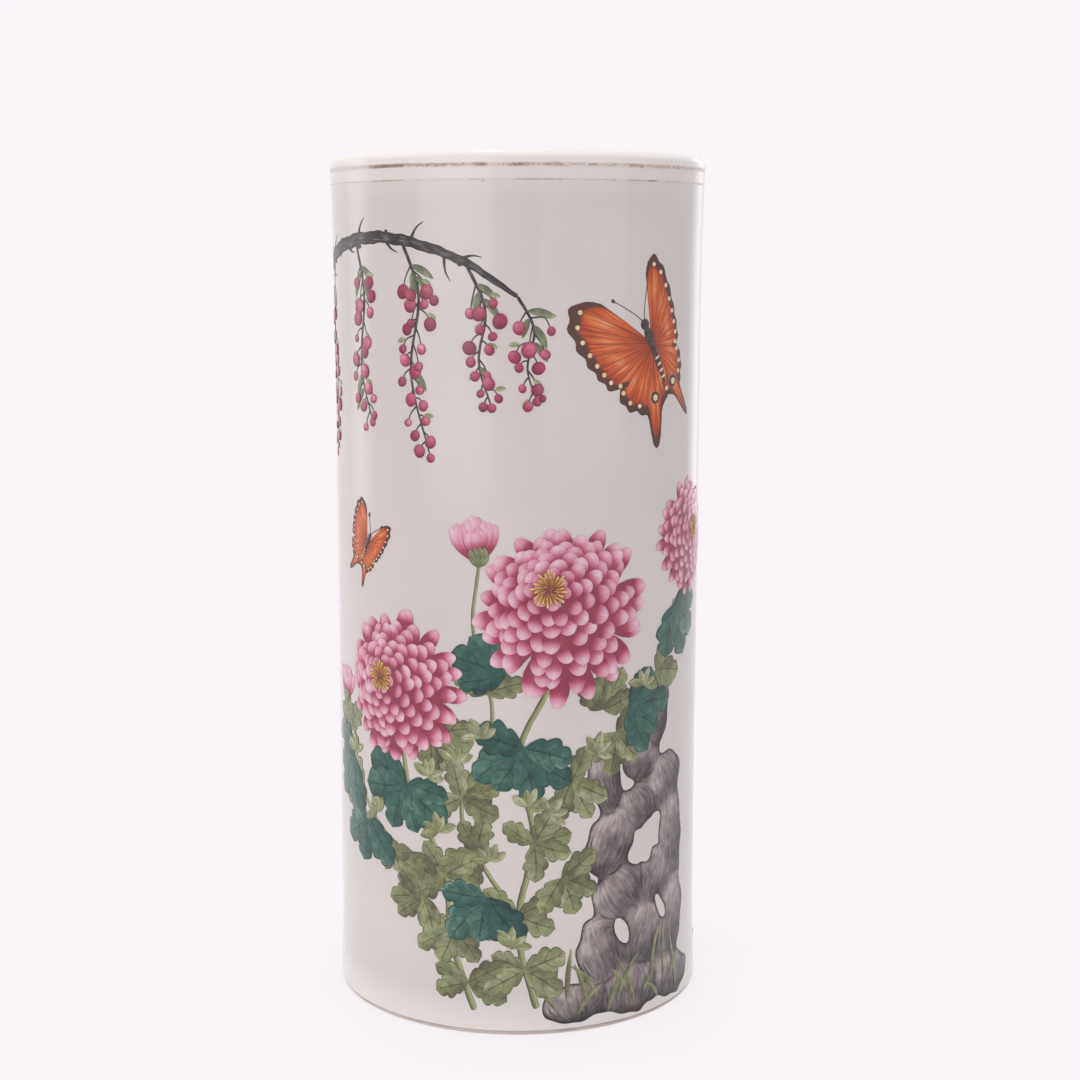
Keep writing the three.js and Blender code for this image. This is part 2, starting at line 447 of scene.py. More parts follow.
def rock_enamel(tree):
    """Grey violet washed over dry, dragged ink: dark where the brush pressed along the edge of each
    swell, thin and pale on top, with the hairs' streaks left in it. The map gives millimetres round each
    swell and up it."""
    drag = soft_grain(tree, 1, node(tree, "UVMap", uv_map="brush"), detail=4, stretch=(0.95, 0.2, 1))
    wash = node(tree, "Attribute", attribute_name="wash").outputs["Fac"]
    tone = stirred(tree, wash, drag, 0.95)
    tone = stirred(tree, tone, soft_grain(tree, 5, detail=3), 0.8, clamp=True)
    greys = [(0.0, "#2C2629"), (0.3, "#504849"), (0.55, "#776C6E"), (0.8, "#998D8D"), (1.0, "#BCB1AF")]
    base = node(tree, "ValToRGB", [tone], stops=greys)
    end_with(tree, base, 0.26, drag, 0.02)


def berry_enamel(tree):
    """Crimson dabbed in one touch of a full brush: dark on the side where the brush lifted, pink and
    nearly white on the other."""
    wet = soft_grain(tree, 1.2, detail=2)
    wash = node(tree, "Attribute", attribute_name="wash").outputs["Fac"]
    tone = stirred(tree, wash, wet, 0.5, clamp=True)
    crimsons = [(0.0, "#7F2B45"), (0.4, "#A6415D"), (0.75, "#C46780"), (1.0, "#E2A9B8")]
    base = node(tree, "ValToRGB", [tone], stops=crimsons)
    end_with(tree, base, 0.2, wet, 0.01)


def iron_red_enamel(tree):
    """Iron red drawn in hundreds of fine dry hairs, thin and satin: orange with pale glaze between the
    hairs, brown black along the veins and the margins. The map gives the share across the wing and the
    share out to its margin."""
    brush = node(tree, "UVMap", uv_map="brush")
    across, out = across_and_along(tree, brush)
    hair = soft_grain(tree, 1, brush, detail=3, stretch=(70, 2.2, 1))
    blot = soft_grain(tree, 1, brush, detail=2, stretch=(9, 4, 1))
    swells = [(0.0, "#1E1E1E"), (0.3, "#8C8C8C"), (0.62, "#BEBEBE"), (0.86, "#6E6E6E")]
    swell = node(tree, "ValToRGB", [out], stops=swells)
    tone = stirred(tree, swell, hair, 1.7)
    tone = stirred(tree, tone, blot, 0.5, clamp=True)
    reds = [(0.0, "#97361A"), (0.25, "#C44D1C"), (0.5, "#DA6C2E"), (0.78, "#E79B66"), (1.0, "#F0D0BA")]
    base = node(tree, "ValToRGB", [tone], stops=reds)
    cell = node(tree, "Math", [across, WING_CELLS], operation="MULTIPLY")
    cell = node(tree, "Math", [cell], operation="FRACT")
    from_vein = summed(tree, 0.5, (from_middle(tree, cell), -0.5))
    vein = node(tree, "Math", [from_vein, out], operation="MULTIPLY")
    vein = node(tree, "Math", [vein, 0.03], operation="LESS_THAN")
    vein = node(tree, "Math", [vein, 0.65], operation="MULTIPLY")
    margin = stirred(tree, out, blot, 0.12)
    margin = node(tree, "ValToRGB", [margin], stops=[(0.84, "#000000"), (0.89, "#FFFFFF")])
    margin = node(tree, "Math", [margin, 0.9], operation="MULTIPLY")
    drawn = node(tree, "Math", [vein, margin], operation="MAXIMUM")
    base = laid_over(tree, base, "#3C2622", drawn)
    end_with(tree, base, 0.32, hair, 0.01)


def yellow_enamel(tree):
    """Thick opaque antimony yellow, laid in short raised strokes with a brown root and a pale cream tip.
    The map gives the share across the stroke and the centimetres along it."""
    across, along = across_and_along(tree, node(tree, "UVMap", uv_map="brush"))
    edge = node(tree, "Math", [from_middle(tree, across), 3.0], operation="POWER")
    tone = summed(tree, along, (edge, -0.16))
    yellows = [(0.0, "#8A4B33"), (0.1, "#B97B36"), (0.25, "#DDB060"), (0.45, "#EFD795")]
    base = node(tree, "ValToRGB", [tone], stops=yellows)
    end_with(tree, base, 0.25)


def cream_enamel(tree):
    """Opaque white enamel warmed with a little yellow, dotted on thickly."""
    base = node(tree, "ValToRGB", [soft_grain(tree, 0.8)], stops=[(0.3, "#E8C98A"), (0.7, "#F1E2C2")])
    end_with(tree, base, 0.2)


def ink_enamel(tree):
    """Cobalt and manganese black, used for drawing: thin, nearly black, browner where it is dry."""
    base = node(tree, "ValToRGB", [soft_grain(tree, 1.5)], stops=[(0.3, "#2A2426"), (0.75, "#5B4C48")])
    end_with(tree, base, 0.3)


# The turned surfaces.

GLAZE_COLUMNS = 288


def arc_profile(centre_radius, centre_height, radius, start, end, steps):
    """Points on an arc, as (radius, height), from one angle to another in degrees."""
    angle = np.radians(np.linspace(start, end, steps))
    return np.stack([centre_radius + radius * np.cos(angle), centre_height + radius * np.sin(angle)], -1)


def column_profile(radius_at, start, end, steps):
    """Points up or down a wall, as (radius, height), in equal steps of height."""
    height = np.linspace(start, end, steps)
    return np.stack([radius_at(height), height], -1)


def inner_radius(height):
    """Inside of the bare wall: the outside less the wall's thickness."""
    return bare_radius(height) - wall_at(height)


def glaze_coat():
    """One coat of glaze: up the outside, over the round lip, down the inside, round the fillet and
    across the floor, and back along the porcelain underneath it."""
    slip_top = BASE_TOP + FILLET
    fillet_radius = inner_radius(slip_top) - FILLET
    lip = bare_radius(LIP_CENTRE_HEIGHT) - LIP_RADIUS

    def side(growth, rows, turns):
        outside = column_profile(lambda z: bare_radius(z) + growth, GLAZE_STOP, LIP_CENTRE_HEIGHT, rows)
        over = arc_profile(lip, LIP_CENTRE_HEIGHT, LIP_RADIUS + growth, 0, 180, turns)
        inside = column_profile(lambda z: inner_radius(z) - growth, LIP_CENTRE_HEIGHT, slip_top, rows)
        round_corner = arc_profile(fillet_radius, slip_top, FILLET - growth, 0, -90, turns // 2)
        floor = np.linspace([fillet_radius, BASE_TOP + growth], [0, BASE_TOP + growth], 10)
        return np.vstack([outside, over[1:], inside[1:], round_corner[1:], floor[1:]])

    profile = np.vstack([side(GLAZE, 72, 25), side(0, 24, 13)[::-1]])
    points, faces = spin(profile, GLAZE_COLUMNS, wobble)
    return new_piece("glaze_coat", points, faces, GLAZE_MATERIAL)


def bare_body():
    """The bare porcelain wall, of which only the bevel and the flat of the standing ring show."""
    ring_inner = bare_radius(0) - FOOT_RING_WIDTH
    base_radius = inner_radius(BASE_TOP)
    corner = 0.35
    bevel = arc_profile(bare_radius(FOOT_BEVEL) - FOOT_BEVEL, FOOT_BEVEL, FOOT_BEVEL, -90, 0, 9)
    lip = bare_radius(LIP_CENTRE_HEIGHT) - LIP_RADIUS
    profile = np.vstack(
        [
            [[ring_inner, corner], [ring_inner + corner, 0]],
            bevel,
            column_profile(bare_radius, GLAZE_STOP, LIP_CENTRE_HEIGHT, 24),
            arc_profile(lip, LIP_CENTRE_HEIGHT, LIP_RADIUS, 0, 180, 13)[1:],
            column_profile(inner_radius, LIP_CENTRE_HEIGHT, BASE_TOP, 24)[1:],
            [[base_radius, RECESS], [ring_inner, RECESS]],
        ]
    )
    points, faces = spin(profile, GLAZE_COLUMNS, wobble)
    return new_piece("bare_body", points, faces, BISCUIT_MATERIAL)


def underside_glaze():
    """The glaze pooled over the underside of the base and down the inside of the standing ring."""
    ring_inner = bare_radius(0) - FOOT_RING_WIDTH
    corner = arc_profile(ring_inner - GLAZE - 1.5, RECESS - GLAZE - 1.5, 1.5, 90, 0, 7)
    profile = np.vstack(
        [
            np.linspace([0, RECESS - GLAZE], corner[0], 8),
            corner[1:],
            [[ring_inner - GLAZE, GLAZE_STOP], [ring_inner, GLAZE_STOP], [ring_inner, RECESS], [0, RECESS]],
        ]
    )
    points, faces = spin(profile, GLAZE_COLUMNS)
    return new_piece("underside_glaze", points, faces, GLAZE_MATERIAL)


# The painter's brush.

SUNK = 0.06  # how deep each film's underside lies in the glaze, in millimetres
LAYER = 0.012  # how far one film lies over the film before it, in millimetres
DISC_RINGS = np.array([1.0, 1.0, 0.8, 0.45])  # shares of the outline: under the film's edge, then its top
YOUNG, OLD = 0.0, 1.0  # ages of a leaf, which give it its green, and of a stem, green or bark


def ring_faces(index):
    """Faces that join each ring of points to the next, where every row of the index is a ring."""
    after = np.roll(index, -1, axis=1)
    return np.stack([index[:-1], after[:-1], after[1:], index[1:]], -1).reshape(-1, 4)


def heading_of(way):
    """The direction of a way across the painting, in radians from the viewer's right."""
    return math.atan2(way[1], way[0])


def ahead(place, heading, distance):
    """The point at a distance from a place, in a direction."""
    return np.asarray(place, float) + distance * np.array([math.cos(heading), math.sin(heading)])


class Enamel:
    """Films of enamel gathered into one piece, each of them a thin closed body."""

    def __init__(self):
        self.points, self.faces, self.maps = [], [], []
        self.values = {"wash": [], "age": []}
        self.count = 0

    def add(self, points, faces, side, along, wash, age):
        """Keep one closed body: its points, its faces, its map and its painted values."""
        self.points.append(points.reshape(-1, 3))
        self.faces += [(face + self.count).tolist() for face in faces]
        self.maps.append(np.stack([side.ravel(), along.ravel()], -1))
        self.values["wash"].append(wash.ravel())
        self.values["age"].append(age.ravel())
        self.count += len(self.points[-1])

    def film(self, across, height, lift, along, side, wash, age=0.0):
        """Add a film given as grids, with rows along it and columns across it, which are turned round
        where they would make it face inwards. A ring of points runs over its top from side to side and
        back under it, and the rings follow one another along the film."""
        grids = np.array(np.broadcast_arrays(across, height, lift, along, side, wash, age), float)
        step_row = np.diff(grids[:2], axis=1)[:, :, :-1]
        step_col = np.diff(grids[:2], axis=2)[:, :-1]
        if (step_col[0] * step_row[1] - step_col[1] * step_row[0]).sum() < 0:
            grids = grids[:, :, ::-1]
        across, height, lift, along, side, wash, age = grids
        rows, columns = across.shape
        top = on_pot(across, height, lift)
        under = on_pot(across, height, -SUNK)[:, ::-1]
        index = np.arange(rows * 2 * columns).reshape(rows, 2 * columns)
        over, below = index[:, :columns], index[:, columns:][:, ::-1]
        root = np.stack([over[0, 1:], over[0, :-1], below[0, :-1], below[0, 1:]], -1)
        tip = np.stack([over[-1, :-1], over[-1, 1:], below[-1, 1:], below[-1, :-1]], -1)
        both = [np.concatenate([g, g[:, ::-1]], 1) for g in (side, along, wash, age)]
        self.add(np.concatenate([top, under], 1), [ring_faces(index), root, tip], *both)

    def disc(self, centre, reach, lift, dome, wash):
        """Add a round film: rings of points at shares of the outline, whose distance from the centre is
        given by angle. It rises by the dome as one less the share squared. The wash has one value for
        each ring and angle."""
        count = len(reach)
        angle = 2 * math.pi * np.arange(count) / count
        share = DISC_RINGS[:, None]
        x, y = share * reach * np.cos(angle), share * reach * np.sin(angle)
        rise = lift + dome * (1 - share**2)
        rise[0] = -SUNK
        rings = on_pot(centre[0] + x, centre[1] + y, rise)
        middle = on_pot(centre[0], centre[1], np.array([lift + dome, -SUNK]))
        index = np.arange(len(share) * count).reshape(len(share), count)
        top = np.full(count, index.size)
        over = np.stack([index[-1], np.roll(index[-1], -1), top], -1)
        below = np.stack([np.roll(index[0], -1), index[0], top + 1], -1)
        side = np.append(x, [0, 0])
        along = np.append(y, [0, 0])
        wash = np.append(wash, [wash[-1].mean(), 0])
        points = np.concatenate([rings.reshape(-1, 3), middle])
        self.add(points, [ring_faces(index), over, below], side, along, wash, np.zeros(len(side)))

    def piece(self, name, slot, material):
        """Turn all the films into one piece."""
        return new_piece(
            name,
            np.concatenate(self.points),
            [face for part in self.faces for face in part],
            material,
            np.concatenate(self.maps),
            {key: np.concatenate(value) for key, value in self.values.items()},
        )


def smooth_line(points, rows):
    """A curve through the points: between two of them a cubic that leaves and arrives along the line
    that joins their neighbours. Extra columns, such as the width, are carried along."""
    points = np.asarray(points, float)
    padded = np.vstack([2 * points[0] - points[1], points, 2 * points[-1] - points[-2]])
    place = np.linspace(0, len(points) - 1, rows)
    span = np.minimum(place.astype(int), len(points) - 2)
    share = (place - span)[:, None]
    before, start, end, after = (padded[span + i] for i in range(4))
    return 0.5 * (
        2 * start
        + (end - before) * share
        + (2 * before - 5 * start + 4 * end - after) * share**2
        + (3 * start - before - 3 * end + after) * share**3
    )


def midrib(root, heading, length, bend, along):
    """The middle line of a petal or leaf that bends evenly, and its direction at each row."""
    turn = heading + bend * along
    way = np.stack([np.cos(turn), np.sin(turn)])
    steps = np.diff(along, axis=0, prepend=0) * length
    spine = np.asarray(root, float)[:, None, None] + np.cumsum(way * steps, axis=1)
    return spine, way


def stroke(paint, points, lift, rise=0.03, age=OLD, rough=0.0, columns=6, step=1.2):
    """A brush stroke: a smooth line whose width swells and thins, given as points of (across, height,
    width), with both ends half round. Roughness makes the two edges wander by that share of the width,
    in slow waves that start elsewhere on each edge and on each stroke. It is flat on top and falls away
    as the fourth power towards both sides."""
    points = np.asarray(points, float)
    fine = smooth_line(points, 24 * len(points))
    run = np.append(0, np.cumsum(np.hypot(*np.diff(fine[:, :2], axis=0).T)))
    length = run[-1]
    start, end = np.minimum(points[[0, -1], 2] / 2, 0.45 * length)
    cap = 1 - np.cos(np.radians([15, 35, 58]))
    body = np.linspace(start, length - end, max(4, int(length / step)))
    place = np.concatenate([start * cap, body, length - end * cap[::-1]])
    line = np.stack([np.interp(place, run, column) for column in fine.T], -1)
    way = np.gradient(line[:, :2], axis=0)
    way /= np.maximum(np.hypot(way[:, 0], way[:, 1]), 1e-9)[:, None]
    side = np.linspace(-1, 1, columns)[None, :]
    place = place[:, None]
    first, second = points[0, 0] + 2 * (side > 0), points[0, 1] - 3 * (side > 0)
    wander = rough * (np.sin(place * 0.55 + first) + 0.6 * np.sin(place * 1.35 + second))
    from_end = np.clip(np.minimum(place / start, (length - place) / end), 0, 1)
    rounded = np.sqrt(1 - (1 - from_end) ** 2)
    half = np.maximum(line[:, 2:3] / 2 * (1 + wander) * rounded, 0.05)
    paint.film(
        line[:, 0:1] + way[:, 1:2] * half * side,
        line[:, 1:2] - way[:, 0:1] * half * side,
        lift + rise * (1 - side**4),
        place / 10,
        (side + 1) / 2,
        0.5,
        age,
    )


def leaf(paint, root, heading, length, width, bend, age, wash, lift, lobes=LOBES):
    """A leaf. The half-width is a sine that swells early, cut back between the lobes by a rounded saw,
    and both sides sweep forward by a share of their width, as the lobes do."""
    along = np.linspace(0, 1, 8 * lobes + 9)[:, None]
    side = np.linspace(-1, 1, 9)[None, :]
    spine, way = midrib(root, heading, length, bend, along)
    body = np.sin(math.pi * np.clip(along**0.82, 0.006, 0.994)) ** 0.75
    tooth = np.abs(np.sin(math.pi * (lobes * along + 0.1))) ** 0.6 if lobes else 1.0
    half = width / 2 * body * (0.64 + 0.36 * tooth) * np.where(side > 0, 1.0, 0.88)
    sweep = 0.42 * half * np.abs(side) ** 1.5
    light = wash + 0.2 * side + 0.2 * (along - 0.5)
    furrow = 0.02 * np.exp(-((side / 0.12) ** 2))
    paint.film(
        spine[0] + way[0] * sweep + way[1] * half * side,
        spine[1] + way[1] * sweep - way[0] * half * side,
        lift + 0.03 * (1 - side**6) - furrow,
        along,
        (side + 1) / 2,
        light,
        age,
    )


def blade(paint, root, heading, length, width, bend, lift, age=YOUNG, wash=0.5):
    """A slim leaf without lobes, such as a sepal or a blade of grass."""
    leaf(paint, root, heading, length, width, bend, age, wash, lift, lobes=0)


def petal(paint, root, heading, length, width, bend, hidden, tone, lift):
    """A spoon-shaped petal: narrow at its root, widest at seven tenths, then closing like an ellipse. The
    wash goes from deep rose, where the next petals cover it, to pale at the tip, darker at both sides."""
    along = np.sin(np.linspace(0, math.pi / 2, 10))[:, None]
    side = np.linspace(-1, 1, 5)[None, :]
    spine, way = midrib(root, heading, length, bend, along)
    opening = 0.4 + 0.6 * smooth(along / 0.7)
    closing = np.sqrt(np.clip(1 - share_of(along, 0.66, 1.0) ** 2.2, 0.003, 1))
    half = width / 2 * opening * closing
    shown = share_of(along, hidden, 1.0)
    wash = 0.04 + 0.9 * smooth(shown * 1.25) ** 0.8 - 0.16 * side**2 + tone
    paint.film(
        spine[0] + way[1] * half * side,
        spine[1] - way[0] * half * side,
        lift + 0.6 * LAYER * (1 - side**4),
        along,
        (side + 1) / 2,
        wash,
    )


def dab(paint, centre, size, lift, wash=0.4, heading=0.8, oval=1.0, count=14):
    """One round touch of the brush, long by the oval along its heading, paler towards that side and
    darkest at its edge, where the wet enamel gathered."""
    angle = 2 * math.pi * np.arange(count) / count
    reach = size / np.sqrt(np.cos(angle - heading) ** 2 / oval**2 + np.sin(angle - heading) ** 2)
    share = DISC_RINGS[:, None]
    light = wash + 0.34 * share * np.cos(angle - heading) - 0.45 * share**4 + 0.3
    paint.disc(centre, reach, lift, min(0.09, size / 16), light)


# What is painted. Films of one kind are gathered here, to become one piece at the end.

twigs, berries, leaves, inked = Enamel(), Enamel(), Enamel(), Enamel()
stems, rock, grass, bud_petals = Enamel(), Enamel(), Enamel(), Enamel()
young, old, sprouts = Enamel(), Enamel(), Enamel()

# How far each group of films lies over the glaze, in millimetres, so that it covers the ones before it.
ROOT_LIFT = 0.015
BOUGH_LIFT = 0.02
STEM_LIFT = 0.03
ROCK_LIFT = 0.03
BUTTERFLY_LIFT = 0.05
SPRAY_LIFT = 0.06
YOUNG_LIFT = 0.09
GRASS_LIFT = 0.16
OLD_LIFT = 0.2
BUD_LIFT = 0.2
BLOSSOM_LIFT = 0.28
SPROUT_LIFT = 0.3

WHORLS = [  # petals, reach of the tips, root, width, all but the first as shares of the flower's radius
    (21, 1.00, 0.34, 0.225),
    (21, 0.90, 0.30, 0.220),
    (18, 0.79, 0.26, 0.225),
    (18, 0.68, 0.22, 0.210),
    (15, 0.57, 0.17, 0.205),
    (12, 0.45, 0.12, 0.195),
    (9, 0.33, 0.07, 0.175),
    (6, 0.21, 0.02, 0.150),
]
FLORETS = 34
GOLDEN_ANGLE = 2.4  # radians from one floret to the next


def blossom(name, centre, size, lean, seed, lift):
    """A chrysanthemum: whorls of petals from the outside in. The heart lies off the middle along the
    lean, so the petals there are short and the ones that face the viewer are long. The inner petals
    curl one way round the heart, where a tuft of yellow florets stands."""
    chance = np.random.default_rng(seed)
    petals, florets = Enamel(), Enamel()
    tilt, amount = heading_of(lean), math.hypot(*lean)
    for ring, (count, reach, root, width) in enumerate(WHORLS):
        inner = WHORLS[ring + 1][1] if ring + 1 < len(WHORLS) else 0.1
        middle = ahead(centre, tilt, amount * size * (1 - reach))
        for number in range(count):
            direction = 2 * math.pi * (number + 0.5 * (ring % 2)) / count + chance.normal(0, 0.05)
            towards = math.cos(direction - tilt)
            length = size * (reach - root) * (1 - 0.2 * amount * towards) * chance.uniform(0.9, 1.07)
            droop = -0.22 * math.cos(direction) * (1 - ring / len(WHORLS))
            petal(
                petals,
                ahead(middle, direction, root * size),
                direction - droop / 2,
                length,
                width=width * size * chance.uniform(0.88, 1.1),
                bend=droop + chance.normal(0, 0.16) + 0.09 * ring,
                hidden=max(0.0, (inner - root) / (reach - root) - 0.12),
                tone=chance.uniform(-0.16, 0.05) - 0.12 * (ring > 5),
                lift=lift + LAYER * (3 * ring + number % 3),
            )
    lift += LAYER * 3 * len(WHORLS)
    heart = ahead(centre, tilt, amount * size * 0.88)
    for number in range(FLORETS):
        direction = GOLDEN_ANGLE * number
        start = ahead(heart, direction, size * 0.014 * number**0.5)
        tip = ahead(heart, direction + 0.25, size * (0.04 + 0.032 * number**0.5))
        level = lift + LAYER * (4 - number % 3)
        stroke(inked, [(*start, 0.5), (*ahead(tip, direction, 0.1), 1.15)], lift, step=0.8, columns=4)
        stroke(florets, [(*start, 0.45), (*tip, 0.85)], level, 0.08, step=0.8, columns=5)
    petals.piece(name + "_petals", "rose_enamel", ROSE)
    florets.piece(name + "_florets", "yellow_enamel", YELLOW)


def bud(petals, leaves, centre, size, heading, seed, lift):
    """A half-open bud: a fan of petals that close on one another, held by green sepals."""
    chance = np.random.default_rng(seed)
    for ring, (count, reach, spread) in enumerate(((9, 1.0, 1.0), (7, 0.85, 0.7), (5, 0.68, 0.4))):
        for number in range(count):
            turn = spread * (2 * number / (count - 1) - 1)
            petal(
                petals,
                ahead(centre, heading + turn, size * 0.1),
                heading + turn,
                size * reach * chance.uniform(0.9, 1.05),
                width=size * 0.26,
                bend=-turn * 0.9,
                hidden=0.25,
                tone=chance.uniform(-0.2, 0.0),
                lift=lift + LAYER * (3 * ring + number % 3),
            )
    for turn in (-0.9, -0.35, 0.25, 0.8):
        root = ahead(centre, heading, -size * 0.12)
        blade(leaves, root, heading + turn, size * 0.5, size * 0.2, -turn, lift + 0.13)


def leafy(paint, root, headings, length, width, age, seed, lift, lobes=LOBES, wash=0.3):
    """A tuft of leaves from one point, at the given headings in degrees, each a little different."""
    chance = np.random.default_rng(seed)
    for number, heading in enumerate(headings):
        grown = chance.uniform(0.85, 1.12)
        leaf(
            paint,
            root,
            math.radians(heading + chance.normal(0, 6)),
            length * grown,
            width=width * grown * chance.uniform(0.9, 1.12),
            bend=chance.uniform(-0.4, 0.4),
            age=age,
            wash=wash + chance.uniform(0, 0.32),
            lift=lift + LAYER * number,
            lobes=lobes,
        )


BERRY_SPACING = 2.9  # millimetres along a spray


def hanging_spray(points, seed, lift):
    """A drooping berry spray: a twig with stalks to both sides by turns, hanging lower the farther they
    reach, a berry at each end with the dark dot of its calyx, smaller towards the tip, and slim leaves
    near the top. Every third stalk has a small pale leaf at its knee."""
    chance = np.random.default_rng(seed)
    line = smooth_line(points, 60)
    way = np.gradient(line[:, :2], axis=0)
    stroke(twigs, points, lift, rough=0.08)
    count = int(np.hypot(*np.diff(line[:, :2], axis=0).T).sum() / BERRY_SPACING)
    for number in range(count):
        at = int(9 + 49 * number / count)
        base, heading = line[at, :2], heading_of(way[at])
        turn = (1 if number % 2 else -1) * chance.uniform(0.5, 1.2)
        far = chance.uniform(3.6, 8.2) * (1.15 - 0.5 * at / 60)
        knee = ahead(base, heading + turn, far * 0.55)
        tip = knee + [0.25 * far * math.cos(heading + turn), -0.5 * far]
        stroke(twigs, [(*base, 0.55), (*knee, 0.42), (*tip, 0.34)], lift, step=1.0, columns=4)
        size = chance.uniform(1.3, 2.4) * (1.08 - 0.3 * at / 60)
        level = lift + LAYER * (2 + 8 * (number % 4))
        dab(berries, tip, size, level, chance.uniform(-0.12, 0.5), chance.uniform(0.4, 2.6), 1.1, 16)
        dab(inked, tip - [0.25 * size * math.cos(turn), 0.62 * size], 0.26, level + 4 * LAYER, count=6)
        if number % 3 == 1:
            blade(leaves, knee, heading + 1.4 * turn, 3.6, 1.7, -0.4 * turn, lift + 0.03, wash=0.85)
        if number < 3 or chance.random() < 0.12:
            length = chance.uniform(6.5, 9.5)
            blade(leaves, base, heading - turn, length, 2.6, 0.5 * np.sign(turn), lift, age=0.2)
    dab(berries, line[-1, :2], 1.5, lift + 0.05, 0.2)


def bough(points, seed, spurs):
    """Old wood of the berry tree: one long stroke that thins to its end, thorny spurs to both sides by
    turns, stouter where the wood is thick, ink pressed in behind each of them, and moss dots."""
    chance = np.random.default_rng(seed)
    stroke(twigs, points, BOUGH_LIFT, 0.06, rough=0.1, columns=11, step=0.9)
    line = smooth_line(points, 100)
    way = np.gradient(line[:, :2], axis=0)
    for number in range(spurs):
        at = int(6 + 88 * number / spurs + chance.uniform(-1, 1))
        hand = 1 if number % 2 else -1
        along, thick = heading_of(way[at]), line[at, 2]
        heading = along + hand * chance.uniform(0.4, 1.3)
        far = chance.uniform(1.5, 7) + 0.6 * thick
        root = ahead(line[at, :2], along + hand * math.pi / 2, thick * 0.3)
        knee = ahead(root, heading, far * 0.6)
        tip = ahead(knee, heading - 0.4 * hand, far * 0.5)
        spur = [(*root, 0.5 + 0.2 * thick), (*knee, 0.4 + 0.08 * thick), (*tip, 0.2)]
        stroke(twigs, spur, BOUGH_LIFT + 0.01, 0.05, step=0.9, columns=5)
        crook = ahead(root, along + math.pi, thick * 0.5)
        bow = ahead(crook, along - hand * math.pi / 2, thick * 0.45)
        ink = [(*root, 0.2), (*crook, 0.16 * thick), (*bow, 0.15)]
        stroke(inked, ink, BOUGH_LIFT + 0.065, 0.01, step=0.6, columns=4)
        if chance.random() < 0.5:
            edge = ahead(line[at, :2], along - hand * math.pi / 2, thick * 0.55)
            dot = chance.uniform(0.45, 0.8)
            dab(inked, edge, dot, BOUGH_LIFT + 0.07, heading=along, oval=1.5, count=10)


def wing_reach(turns, radii, side):
    """Distance from the wing's root to its margin: a smooth curve through radii at turns in degrees."""
    table = smooth_line(np.stack([turns, radii], -1), 200)
    turn = turns[0] + (turns[-1] - turns[0]) * side
    return np.interp(turn, table[:, 0], table[:, 1])


FORE_WING = ([30, 35, 42, 50, 60, 74, 90, 104, 114], [0.72, 0.92, 1.0, 0.99, 0.91, 0.80, 0.72, 0.67, 0.52])
HIND_WING = (
    [104, 114, 126, 138, 149, 155, 160, 166, 174, 184, 192],
    [0.52, 0.66, 0.71, 0.70, 0.74, 1.0, 1.02, 0.68, 0.62, 0.52, 0.4],
)


def wing(paint, root, axis, hand, outline, size, squash, lift):
    """A butterfly's wing: a fan from the root, whose distance to the margin follows the outline. squash
    narrows it across the body, as when the wing folds up. Its map is the share across the fan and the
    share out to the margin."""
    turns, radii = outline
    along = np.linspace(0.03, 1, 16)[:, None]
    side = np.linspace(0, 1, 41)[None, :]
    turn = np.radians(turns[0] + (turns[-1] - turns[0]) * side)
    waves = 1 + 0.022 * np.cos(side * 7 * 2 * math.pi) * along**3
    distance = size * along * wing_reach(turns, radii, side) * waves
    x, y = distance * np.cos(turn), distance * np.sin(turn) * hand * squash
    paint.film(
        root[0] + x * math.cos(axis) - y * math.sin(axis),
        root[1] + x * math.sin(axis) + y * math.cos(axis),
        lift + 0.02 * np.abs(np.sin(side * math.pi * 7)) * smooth(along * 3),
        along,
        side,
        0.5,
    )


